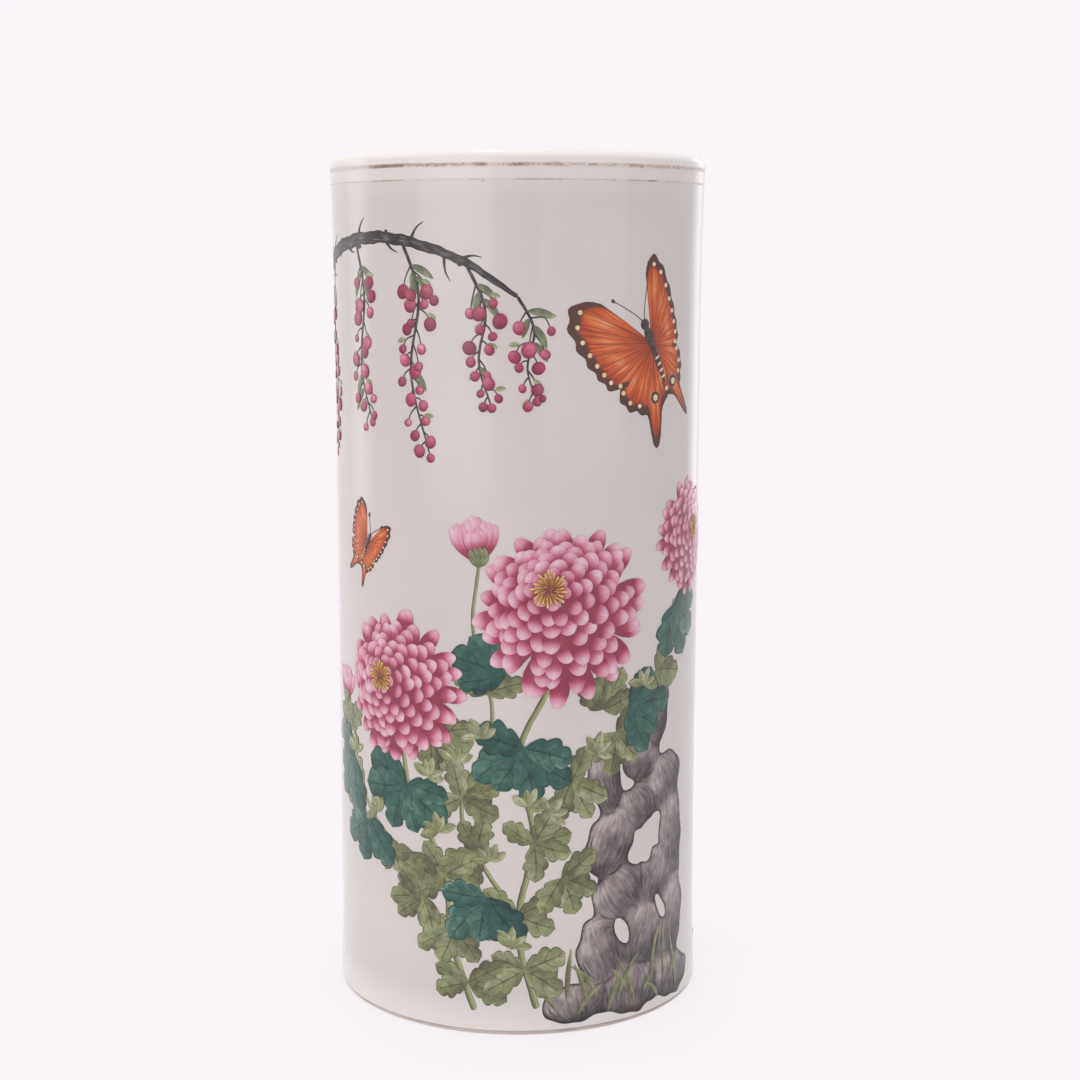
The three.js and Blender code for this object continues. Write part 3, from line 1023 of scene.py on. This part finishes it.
def butterfly(name, centre, size, heading, squash, lift):
    """A butterfly seen from above: two pairs of wings about the body, one pair squashed as it folds up,
    pale spots along the margins, an eye on each hind wing, a banded body and clubbed antennae."""
    wings, spots, body = Enamel(), Enamel(), Enamel()
    axis = math.radians(heading)
    root = ahead(centre, axis, size * 0.04)
    for hand, narrow in ((1, 1.0), (-1, squash)):
        wing(wings, root, axis, hand, HIND_WING, size, narrow, lift)
        wing(wings, root, axis, hand, FORE_WING, size, narrow, lift + 3 * LAYER)
        for outline, level, spots_at in (
            (FORE_WING, 6, np.linspace(0.14, 0.92, 8)),
            (HIND_WING, 4, (0.12, 0.25, 0.38, 0.86)),
        ):
            turns, radii = outline
            for side in spots_at:
                turn = math.radians(turns[0] + (turns[-1] - turns[0]) * side)
                far = 0.9 * size * float(wing_reach(turns, radii, side))
                x, y = far * math.cos(turn), far * math.sin(turn) * hand * narrow
                spot = ahead(ahead(root, axis, x), axis + math.pi / 2, y)
                dab(spots, spot, size * 0.024, lift + LAYER * level, count=8)
        eye = ahead(ahead(root, axis, -size * 0.5), axis + math.pi / 2, size * 0.2 * hand * narrow)
        dab(body, eye, size * 0.062, lift + 5 * LAYER, count=12)
        dab(spots, eye, size * 0.034, lift + 12 * LAYER, count=8)
    trunk = [(-0.4, 0.03), (-0.2, 0.08), (0.0, 0.07), (0.1, 0.12), (0.22, 0.07)]
    line = [(*ahead(centre, axis, size * place), size * width) for place, width in trunk]
    stroke(body, line, lift + 6 * LAYER, 0.12, columns=9, step=0.7)
    for place in (-0.33, -0.26, -0.19, -0.12):
        ring = ahead(centre, axis, size * place)
        dab(spots, ring, size * 0.012, lift + 17 * LAYER, heading=axis + math.pi / 2, oval=3.2, count=10)
    dab(body, ahead(centre, axis, size * 0.25), size * 0.055, lift + 8 * LAYER)
    for hand in (1, -1):
        bow = ahead(centre, axis + hand * 0.2, size * 0.43)
        end = ahead(centre, axis + hand * 0.36, size * 0.68)
        feeler = [(*ahead(centre, axis, size * 0.27), 0.35), (*bow, 0.3), (*end, 0.26)]
        stroke(body, feeler, lift, step=1.0, columns=4)
        dab(body, end, 0.55, lift + LAYER, oval=1.7, heading=axis + hand * 0.4, count=8)
    wings.piece(name + "_wings", "iron_red_enamel", IRON_RED)
    spots.piece(name + "_spots", "yellow_enamel", CREAM)
    body.piece(name + "_body", "bark_enamel", INK)


TALL_ROCK = (  # across, height, half the width, half the height, turn in degrees
    (20, 10, 13, 6.5, 6),
    (40, 12, 14, 9, -4),
    (60, 11, 13, 7.5, -8),
    (28, 25, 9, 12, 20),
    (44, 29, 11, 12, -24),
    (60, 30, 8.5, 16, -12),
    (35, 44, 12, 9, 34),
    (51, 47, 9, 10, -30),
    (60, 60, 7.5, 15, 6),
    (31, 61, 9, 12, -18),
    (42, 72, 9, 8, 30),
    (56, 79, 10, 9, 24),
    (29, 82, 6, 12, 16),
    (44, 88, 8.5, 8, -30),
    (51, 101, 6, 12, -14),
)
TALL_ROCK_HOLES = ((46.5, 60, 4.2, 7, -18), (36, 31, 2.4, 5, 24), (53.5, 36, 1.8, 4.5, 30))
LOW_ROCK = (
    (112, 10, 13, 6.5, 5),
    (130, 11, 11, 6, -8),
    (107, 21, 8, 9, 16),
    (121, 23, 9, 9, -10),
    (112, 35, 7, 9, 20),
    (124, 37, 5, 8, -14),
)
LOW_ROCK_HOLES = ((117, 31, 2.4, 4.2, 14),)
ROCK_GRID = 0.55  # millimetres from point to point in a rock's film
SHADE_STROKES = (  # on each swell: share of its size, first and last direction in degrees, width
    (0.84, -80, -5, 0.9),
    (0.66, -60, 15, 0.6),
    (0.5, -45, 5, 0.45),
    (0.78, 165, 215, 0.5),
)


def in_ovals(x, y, ovals):
    """Where points lie in each oval, as shares of its half-width and of its half-height."""
    middle_x, middle_y, wide, tall, turn = np.array(ovals, float).T[:, :, None, None]
    turn = np.radians(turn)
    right, up = x - middle_x, y - middle_y
    return (
        (right * np.cos(turn) + up * np.sin(turn)) / wide,
        (up * np.cos(turn) - right * np.sin(turn)) / tall,
    )


def shade_strokes(paint, swells, holes, lift):
    """Ink laid over the washed rock: short bowed strokes along the lower right of each swell and a touch
    at its top and left, parts of smaller ovals inside it. One that leaves its swell or meets a hole is
    left out."""
    for number, swell in enumerate(swells):
        middle_x, middle_y, wide, tall, turn = swell
        for share, first, last, width in SHADE_STROKES:
            angle = np.radians(np.linspace(first, last, 5) + 11 * math.sin(2.3 * number + 9 * share))
            right, up = share * wide * np.cos(angle), share * tall * np.sin(angle)
            lean = math.radians(turn)
            x = middle_x + right * math.cos(lean) - up * math.sin(lean)
            y = middle_y + right * math.sin(lean) + up * math.cos(lean)
            nearest = np.hypot(*in_ovals(x, y, swells)).argmin(0)
            open_way = np.hypot(*in_ovals(x, y, holes)).min() > 1.2
            if open_way and (nearest == number).all():
                widths = width * np.array([0.25, 0.8, 1.0, 0.7, 0.2])
                stroke(paint, np.stack([x, y, widths], -1), lift, 0.01, rough=0.1, step=0.8, columns=4)


def rock_cells(corner):
    """Cells of the grid that have all four corners inside, where no two touch by a corner alone."""
    cell = corner[:-1, :-1] & corner[1:, :-1] & corner[:-1, 1:] & corner[1:, 1:]
    for _ in range(2):
        low_left, low_right = cell[:-1, :-1], cell[:-1, 1:]
        high_left, high_right = cell[1:, :-1], cell[1:, 1:]
        rising = low_left & high_right & ~low_right & ~high_left
        falling = low_right & high_left & ~low_left & ~high_right
        cell[:-1, :-1] &= ~rising
        cell[:-1, 1:] &= ~falling
    return cell


def rock_faces(cell):
    """Faces of a film over the cells: its top, its underside and a wall along each bare edge. Also gives
    the grid's points that they use, and which of those lie on the film's border."""
    row, column = np.nonzero(cell)
    around = ((0, 0), (0, 1), (1, 1), (1, 0))
    quads = np.stack([(row + r) * (cell.shape[1] + 1) + column + c for r, c in around], -1)
    used, quads = np.unique(quads, return_inverse=True)
    quads = quads.reshape(-1, 4)
    padded = np.pad(cell, 1)
    walls, border = [], np.zeros(len(used), bool)
    for edge, (r, c) in enumerate(((-1, 0), (0, 1), (1, 0), (0, -1))):
        bare = ~padded[row + 1 + r, column + 1 + c]
        start, end = quads[bare, edge], quads[bare, (edge + 1) % 4]
        border[start] = border[end] = True
        walls.append(np.stack([end, start, start + len(used), end + len(used)], -1))
    return [quads, quads[:, ::-1] + len(used), *walls], used, border


def garden_rock(paint, swells, holes, lift):
    """A weathered garden rock: one film over the cells of a flat grid, with holes right through it. Each
    point has a distance from every swell's middle, where 1 is the swell's edge. The film covers the points
    where the soft least of these, and two ripples, stay under the edge, less the holes. The points on its
    border move onto the exact edge. It is darkest there and in short creases where two swells meet, and
    paler towards the top left of each swell. Every point takes its light and its map from all the swells,
    the nearest ones most. The map runs up the rock and round each swell as round a globe, where the way
    across grows towards the poles by the root of one less the way up squared."""
    low = (np.array(swells)[:, :2] - np.max(swells, axis=0)[2:4]).min(0)
    high = (np.array(swells)[:, :2] + np.max(swells, axis=0)[2:4]).max(0)
    columns = np.arange(low[0], high[0], ROCK_GRID)
    x, y = np.meshgrid(columns, np.arange(max(1, low[1]), high[1], ROCK_GRID))
    to_right, up = in_ovals(x, y, swells)
    far = np.hypot(to_right, up)
    body = -np.log(np.exp(-6 * far).sum(0)) / 6
    ripple = 0.03 * np.sin(0.9 * x + 1.1 * np.sin(0.35 * y))
    ripple += 0.05 * np.sin(0.55 * y + 1.4 * np.sin(0.28 * x + 1))
    hole = np.hypot(*in_ovals(x, y, holes)).min(0)
    inside = np.minimum(0.97 - body, (hole - 1) / 2) + ripple
    slope_up, slope_right = np.gradient(inside, ROCK_GRID)
    slope = np.maximum(np.hypot(slope_up, slope_right), 0.03)
    depth = np.clip(inside / slope, 0, 6)
    faces, used, border = rock_faces(rock_cells(inside > 0))

    def kept(grid):
        return grid.ravel()[used]

    out = np.where(border, np.minimum(kept(depth), 1.5 * ROCK_GRID), 0)
    across = kept(x) - out * kept(slope_right / slope)
    height = kept(y) - out * kept(slope_up / slope)
    near = np.sort(far, axis=0)
    drawn = np.clip(0.2 + 0.9 * np.sin(0.35 * x + 0.23 * y), 0, 1)
    crease = drawn * np.exp(-(((near[1] - near[0]) / 0.07) ** 2))
    share = np.exp(-7 * far)
    share /= share.sum(0)
    light = (share * (0.42 * up - 0.26 * to_right)).sum(0)
    wash = 0.6 + np.clip(light, -0.5, 0.42) - 0.4 * crease - 0.5 * np.exp(-depth / 0.8)
    middle, wide = np.array(swells, float).T[[0, 2], :, None, None]
    globe_across = (share * (middle + wide * to_right / np.sqrt(np.clip(1 - up**2, 0.3, 1)))).sum(0)
    top = on_pot(across, height, lift + 0.07 * (1 - np.exp(-np.where(border, 0, kept(depth)) / 1.5)))
    under = on_pot(across, height, -SUNK)
    values = (kept(globe_across), kept(y), np.where(border, 0, kept(wash)))
    both = [np.tile(value, 2) for value in values]
    paint.add(np.concatenate([top, under]), faces, *both, np.ones(2 * len(used)))
    shade_strokes(inked, swells, holes, lift + 0.08)


# The finishes, each made once.

GLAZE_MATERIAL = finish_named_after(clear_glaze_on_porcelain)
BISCUIT_MATERIAL = finish_named_after(fired_biscuit)
SLIP_MATERIAL = finish_named_after(fired_slip)
GILDING = finish_named_after(rubbed_gilding)
ROSE = finish_named_after(rose_enamel)
LEAF = finish_named_after(leaf_enamel)
BARK = finish_named_after(bark_enamel)
BERRY = finish_named_after(berry_enamel)
ROCK = finish_named_after(rock_enamel)
IRON_RED = finish_named_after(iron_red_enamel)
YELLOW = finish_named_after(yellow_enamel)
CREAM = finish_named_after(cream_enamel)
INK = finish_named_after(ink_enamel)


# Stretches of the gilt lines that aren't worn through: middle, half the length across, how much is left.
RIM_LINE_KEPT = (
    (-43.5, 8.4, 0.95),
    (-25, 12, 0.5),
    (-11, 2.2, 0.7),
    (0, 3.6, 0.7),
    (8, 14, 0.25),
    (11, 3, 0.35),
    (23, 1.6, 0.35),
    (29, 1.6, 0.15),
    (38, 3.2, 0.45),
    (51, 3.5, 0.2),
    (48, 24, 0.25),
    (57, 2, 0.3),
)
NECK_LINE_KEPT = (
    (-44.5, 7.5, 0.6),
    (-12.5, 3, 0.35),
    (6, 8.5, 0.5),
    (20, 7, 0.22),
    (30, 4, 0.25),
    (38.5, 4, 0.5),
    (45, 2.2, 0.85),
    (57, 6, 0.3),
)


def gilt_ring(name, height, width, kept, seed):
    """A gilt line: a ring of steady height whose two edges are nibbled by short waves. It is worn through
    but for the kept stretches and a few more round the back, which fade towards their ends as the fourth
    power of the way from the middle. Where the line is worn it is smeared a little wider."""
    chance = np.random.default_rng(seed)
    paint = Enamel()
    behind = [(20 * n + chance.uniform(0, 12), *chance.uniform((3, 0.4), (9, 1))) for n in range(5, 15)]
    across = np.linspace(0, GIRTH, 4 * GLAZE_COLUMNS + 1)[:, None]
    side = np.linspace(-1, 1, 4)[None, :]
    angle = across / BODY_RADIUS
    worn = np.ones_like(across)
    for middle, reach, left in (*kept, *behind):
        away = (across - middle + GIRTH / 2) % GIRTH - GIRTH / 2
        worn *= 1 - left * np.exp(-((away / reach) ** 4))
    waves = sum(
        chance.uniform(0.03, 0.09) * np.sin(turns * angle + chance.uniform(0, 6.3) + 1.5 * side)
        for turns in (7, 17, 41, 83, 131, 197)
    )
    half = width / 2 * np.clip(1.0 + waves, 0.4, 1.4) * (1 + 0.15 * worn)
    paint.film(across, height + half * side, 0.015, across, (side + 1) / 2, worn)
    return paint.piece(name, "worn_gilding", GILDING)


# Porcelain, glaze and gilding. Base disc and luting slip keep the frame's shapes.

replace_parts(glaze_coat(), "outer_glaze", "inner_glaze")
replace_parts(bare_body(), "porcelain_wall")
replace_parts(underside_glaze(), "base_glaze")
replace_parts(gilt_ring("rim_line", RIM_LINE_HEIGHT, 1.1, RIM_LINE_KEPT, 4), "rim_gilt_line")
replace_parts(gilt_ring("neck_line", NECK_LINE_HEIGHT, 0.45, NECK_LINE_KEPT, 9), "neck_gilt_line")
for node_name, finish in (("base_disc", BISCUIT_MATERIAL), ("luting_slip", SLIP_MATERIAL)):
    for material_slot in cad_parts[node_name].material_slots:
        material_slot.material = finish

# The berry tree stands at the back, to the left. Its bough reaches over to the front and lets sprays hang.
TRUNK = (
    (-160, 10, 11),
    (-154, 32, 9.4),
    (-158, 66, 8.8),
    (-147, 104, 8.2),
    (-152, 142, 7.8),
    (-140, 182, 7.2),
    (-128, 216, 6.4),
    (-108, 236, 5.6),
    (-80, 249, 4.8),
    (-48, 254, 3.8),
    (-20, 248, 2.8),
    (0, 236, 1.4),
)
BACK_BOUGH = ((-148, 106, 5.4), (-160, 132, 4.2), (-178, 152, 3.2), (-190, 178, 2.2), (-192, 206, 1.2))
for points in (
    [(-157, 20, 6), (-167, 11, 4.6), (-178, 8.5, 2.6), (-187, 10, 0.8)],
    [(-158, 18, 6), (-152, 10, 4.6), (-143, 7, 2.4), (-135, 8, 0.8)],
    [(-159, 18, 7), (-162, 10, 4.8), (-163, 6, 2.6)],
):
    stroke(twigs, points, ROOT_LIFT, 0.05, rough=0.12, columns=9, step=0.9)
bough(BACK_BOUGH, 11, 11)
bough(TRUNK, 3, 30)
for points, seed in (
    ([(-82, 247.5, 1.2), (-86, 228, 1.0), (-80, 206, 0.8), (-82, 184, 0.5)], 5),
    ([(-60, 252, 1.2), (-56, 236, 1.0), (-58, 214, 0.8), (-52, 196, 0.5)], 6),
    ([(-38, 252.6, 1.2), (-32, 236, 1.0), (-35, 212, 0.8), (-28, 186, 0.5)], 7),
    ([(-16, 246.2, 1.1), (-10, 232, 0.9), (-12, 216, 0.7), (-8, 202, 0.5)], 8),
    ([(0, 236, 1.0), (5, 226, 0.8), (3, 214, 0.6), (6, 204, 0.4)], 9),
    ([(-108, 236, 1.2), (-106, 216, 1.0), (-110, 196, 0.7), (-106, 176, 0.5)], 10),
    ([(-178, 152, 1.2), (-172, 138, 1.0), (-174, 118, 0.7), (-170, 98, 0.5)], 12),
    ([(-190, 178, 1.1), (-184, 166, 0.9), (-187, 152, 0.7), (-184, 140, 0.5)], 13),
):
    hanging_spray(points, seed, SPRAY_LIFT)

# A tall garden rock at the right and a low one behind, with grass at their feet and at the tree's.
garden_rock(rock, TALL_ROCK, TALL_ROCK_HOLES, ROCK_LIFT)
garden_rock(rock, LOW_ROCK, LOW_ROCK_HOLES, ROCK_LIFT)
GRASS_SPACING = 3.6  # millimetres
for start, count in ((12, 15), (98, 12), (-186, 14)):
    for number in range(count):
        root = (start + GRASS_SPACING * number, 8 + 3 * math.sin(2.1 * number))
        lean = math.cos(1.7 * number)
        length = 15 + 7 * math.sin(3.3 * number + start)
        level = GRASS_LIFT + LAYER * (number % 4)
        blade(grass, root, math.radians(90 + 18 * lean), length, 1.9, 0.8 * lean, level)

# Stems of the chrysanthemums.
for points in (
    [(6, 9, 2.3), (0, 36, 2.2), (5, 66, 2.0), (0, 92, 1.9), (12, 118, 1.8)],
    [(-14, 8, 2.2), (-22, 32, 2.1), (-24, 54, 1.9), (-36, 76, 1.8), (-40, 94, 1.6)],
    [(0, 40, 1.6), (-12, 58, 1.5), (-18, 76, 1.4), (-8, 104, 1.3), (-14, 132, 1.2), (-12, 154, 1.1)],
    [(5, 66, 1.6), (18, 84, 1.4), (34, 98, 1.3), (52, 118, 1.2), (60, 138, 1.1)],
    [(-24, 54, 1.5), (-44, 60, 1.3), (-60, 74, 1.1), (-72, 95, 1.0), (-73.6, 101, 0.9)],
    [(126, 10, 2.0), (132, 34, 1.9), (127, 60, 1.7), (133, 84, 1.4)],
    [(128, 48, 1.4), (140, 64, 1.2), (149, 83, 1.0), (150, 87.4, 0.9)],
):
    stroke(stems, points, STEM_LIFT, 0.05, age=YOUNG, rough=0.07)

# Their leaves: young ones, and then old ones that are larger and darker and lie over the young.
for root, headings, seed in (
    ((-16, 17), (150, 200, 345, 30), 20),
    ((-21, 34), (160, 205, 250, 20, 320), 21),
    ((-24, 52), (130, 175, 215, 40, 350), 22),
    ((2, 22), (160, 20, 330, 210), 34),
    ((0, 40), (150, 200, 30, 340, 250), 23),
    ((5, 64), (10, 50, 330, 160, 280), 24),
    ((-13, 60), (120, 80, 200, 250), 25),
    ((-18, 78), (60, 20, 330, 110, 200), 26),
    ((17, 83), (300, 340, 250, 60), 27),
    ((33, 98), (270, 310, 230, 0, 60), 28),
    ((-36, 58), (240, 280, 320, 200), 35),
    ((-46, 61), (230, 270, 190, 310), 29),
    ((-60, 74), (160, 210, 250, 120), 30),
    ((50, 116), (280, 320, 350, 60), 31),
    ((-10, 112), (150, 110, 60, 30), 32),
    ((-70, 92), (60, 110, 150, 200), 33),
    ((-2, 84), (120, 160, 40, 80), 36),
    ((-32, 44), (190, 240, 290, 150), 37),
    ((14, 52), (300, 350, 30, 250), 38),
    ((-28, 98), (300, 340, 20, 250), 39),
    ((28, 106), (100, 60, 150, 20), 40),
    ((131, 28), (10, 330, 160, 50), 60),
    ((129, 46), (150, 200, 20), 61),
    ((127, 62), (160, 120, 220, 340), 62),
    ((140, 64), (330, 20, 280), 63),
):
    leafy(young, root, headings, length=13.5, width=9.4, age=YOUNG, seed=seed, lift=YOUNG_LIFT)
for root, headings, seed in (
    ((2, 95), (205, 240, 275, 310, 345, 170), 41),
    ((-38, 80), (160, 195, 235, 275, 320, 355), 42),
    ((38, 106), (285, 325, 5, 45), 43),
    ((-66, 84), (190, 230, 270, 150), 44),
    ((60, 136), (250, 290, 330, 10), 45),
    ((-10, 46), (220, 260, 300, 180), 46),
    ((-56, 66), (220, 260, 300), 47),
    ((-4, 118), (120, 150, 190), 48),
    ((129, 72), (200, 240, 300, 340), 64),
    ((130, 36), (170, 215, 320, 355), 65),
):
    leafy(old, root, headings, length=17.5, width=12.5, age=OLD, seed=seed, lift=OLD_LIFT)

# Sprouts in the forks: small pale leaves that have just opened.
for root, heading, seed in (
    ((-9, 58), 100, 70),
    ((3, 76), 60, 71),
    ((-26, 66), 110, 72),
    ((-20, 90), 80, 73),
    ((10, 74), 30, 74),
    ((26, 92), 50, 75),
    ((-52, 68), 120, 76),
    ((-2, 30), 80, 77),
    ((-30, 84), 60, 78),
    ((44, 112), 80, 79),
    ((-66, 86), 100, 80),
    ((-12, 98), 100, 81),
    ((136, 58), 70, 82),
):
    headings = [heading + turn for turn in (-75, -40, 0, 35, 80)]
    leafy(sprouts, root, headings, 6.2, 3.0, YOUNG, seed, SPROUT_LIFT, lobes=0, wash=0.55)

# Blossoms, buds and butterflies.
for name, centre, size, lean, seed in (
    ("main_blossom", (15, 138), 29, (-0.2, 0.3), 51),
    ("left_blossom", (-42, 112), 25, (-0.32, 0.1), 52),
    ("side_blossom", (70, 158), 19, (0.3, 0.12), 53),
    ("back_blossom", (134, 96), 16, (0.24, 0.2), 56),
):
    blossom(name, centre, size, lean, seed, BLOSSOM_LIFT)
for centre, size, heading, seed in (
    ((-12, 154), 13, 100, 54),
    ((-74, 102), 11, 80, 55),
    ((150, 88), 9, 75, 57),
):
    bud(bud_petals, young, centre, size, math.radians(heading), seed, BUD_LIFT)
for name, centre, size, heading, squash in (
    ("large_butterfly", (47, 220), 32, 118, 0.62),
    ("small_butterfly", (-56, 156), 15, 60, 0.7),
    ("back_butterfly", (140, 176), 20, 70, 0.65),
):
    butterfly(name, centre, size, heading, squash, BUTTERFLY_LIFT)

# The films of each kind become one piece.
for films, name, slot, material in (
    (twigs, "berry_twigs", "bark_enamel", BARK),
    (berries, "berries", "rose_enamel", BERRY),
    (leaves, "twig_leaves", "leaf_enamel", LEAF),
    (inked, "moss_dots", "bark_enamel", INK),
    (rock, "garden_rock", "bark_enamel", ROCK),
    (grass, "grass", "leaf_enamel", LEAF),
    (stems, "green_stems", "leaf_enamel", BARK),
    (bud_petals, "bud_petals", "rose_enamel", ROSE),
    (young, "young_leaves", "leaf_enamel", LEAF),
    (old, "old_leaves", "leaf_enamel", LEAF),
    (sprouts, "sprouts", "leaf_enamel", LEAF),
):
    films.piece(name, slot, material)


# Floor, backdrop, light and camera.

BACKDROP = "#FAF5F9"
FLOOR_SHADES = (0.06, 0.2)  # metres from the pot's axis where the floor starts to turn plain and is plain
PLAIN_AT_POT = 0.82  # how much of the backdrop's plain colour the floor shows beside the pot


def seen_only(tree):
    """1 for rays from the camera or off a glossy surface, and 0 for the rest."""
    path = node(tree, "LightPath")
    return node(
        tree, "Math", [path.outputs["Is Camera Ray"], path.outputs["Is Glossy Ray"]], operation="MAXIMUM"
    )


def floor_and_world():
    """A pale floor and a pale world of the same colour. Seen from the camera, the floor is lit close to
    the pot, so that it keeps the shadow there, and turns to the plain backdrop colour farther out."""
    bpy.ops.mesh.primitive_plane_add(size=8)
    floor = bpy.context.object
    floor.name = "floor"
    material, tree = begin("pale_floor")
    lit = node(tree, "BsdfDiffuse", {"Color": "#FBF8FA"})
    glow = node(tree, "Emission", {"Color": BACKDROP, "Strength": 1.0})
    place = node(tree, "TexCoord").outputs["Object"]
    distance = node(tree, "VectorMath", [place], operation="LENGTH").outputs["Value"]
    plain = node(tree, "Math", [way_between(tree, distance, *FLOOR_SHADES)], operation="SQRT")
    plain = summed(tree, PLAIN_AT_POT, (plain, 1 - PLAIN_AT_POT))
    share = node(tree, "Math", [seen_only(tree), plain], operation="MULTIPLY")
    both = node(tree, "MixShader", [share, lit, glow])
    node(tree, "OutputMaterial", [both])
    floor.data.materials.append(material)
    world = bpy.data.worlds.new("studio")
    bpy.context.scene.world = world
    world.use_nodes = True
    tree = world.node_tree
    tree.nodes.clear()
    dim = node(tree, "Background", ["#F2EFF0", 0.53])
    bright = node(tree, "Background", [BACKDROP, 1.0])
    both = node(tree, "MixShader", [seen_only(tree), dim, bright])
    node(tree, "OutputWorld", [both])


LAMP_HEIGHT = 0.05  # metres over the table, for the windows and the fill
HIGH_LAMP = 2.2


def soft_box(name, bearing, distance, height, size, watts, tint="#FFFFFF", spread=180, mirrored=True):
    """A rectangular soft box that faces the pot, at a bearing in degrees from the front, to the viewer's
    right, with its distance, height and size in metres. One that isn't mirrored leaves no highlight."""
    data = bpy.data.lights.new(name, "AREA")
    data.shape = "RECTANGLE"
    data.size, data.size_y = size
    data.energy = watts
    data.spread = math.radians(spread)
    data.color = colour(tint)[:3]
    turn = math.radians(bearing)
    place = Vector((distance * math.sin(turn), -distance * math.cos(turn), height))
    lamp = bpy.data.objects.new(name, data)
    lamp.location = place
    lamp.visible_camera = False
    lamp.visible_glossy = mirrored
    lamp.rotation_euler = (Vector((0, 0, POT_HEIGHT * MM / 2)) - place).to_track_quat("-Z", "Y").to_euler()
    bpy.context.scene.collection.objects.link(lamp)


# The camera, fitted to the foot's curve, the gilt lines and both outlines of the photograph: lengths in
# millimetres, the pitch in degrees.
PHOTO_SIDE = 1080
FOCAL_PIXELS = 1927
CAMERA_DISTANCE = 651.3
EYE_HEIGHT = 249.1
PITCH = 8.47
POT_LEFT_OF_MIDDLE = 22.3  # pixels


def camera():
    """A camera in front of the pot, tipped down, with the pot a little left of the middle."""
    data = bpy.data.cameras.new("camera")
    data.sensor_width = 36
    data.lens = FOCAL_PIXELS / PHOTO_SIDE * data.sensor_width
    data.shift_x = POT_LEFT_OF_MIDDLE / PHOTO_SIDE
    made = bpy.data.objects.new("camera", data)
    made.location = (0, -CAMERA_DISTANCE * MM, EYE_HEIGHT * MM)
    made.rotation_euler = (math.radians(90 - PITCH), 0, 0)
    bpy.context.scene.collection.objects.link(made)
    bpy.context.scene.camera = made


floor_and_world()
# A window is three soft boxes, each wider than the one before it, so that its light fades at both sides.
for name, bearing, distance, tall, tint, boxes in (
    ("window", -38, 1.45, 1.5, "#FFFDFA", ((0.7, 4.5), (1.0, 5.2), (1.3, 5.6))),
    ("left_window", -112, 1.2, 1.3, "#FFFFFF", ((0.2, 0.9), (0.36, 1.0), (0.52, 1.1))),
    ("right_window", 146, 1.2, 1.3, "#FFFFFF", ((0.2, 0.75), (0.36, 0.85), (0.52, 0.95))),
):
    for width, watts in boxes:
        soft_box(name, bearing, distance, LAMP_HEIGHT, (width, tall), watts, tint)
soft_box("fill", 40, 1.5, LAMP_HEIGHT, (1.6, 1.4), 3.8)
# Lamps far overhead: one for the upward faces, and two small ones for the glints on the lip.
soft_box("top", 0, 0.0, HIGH_LAMP, (0.5, 0.5), 1.4, spread=45, mirrored=False)
for bearing, distance, length, watts in ((-163, 0.84, 0.19, 0.16), (174.5, 0.8, 0.1, 0.09)):
    soft_box("lip_light", bearing, distance, HIGH_LAMP, (length, 0.05), watts, spread=45)
camera()
bpy.context.scene.view_settings.view_transform = "Standard"
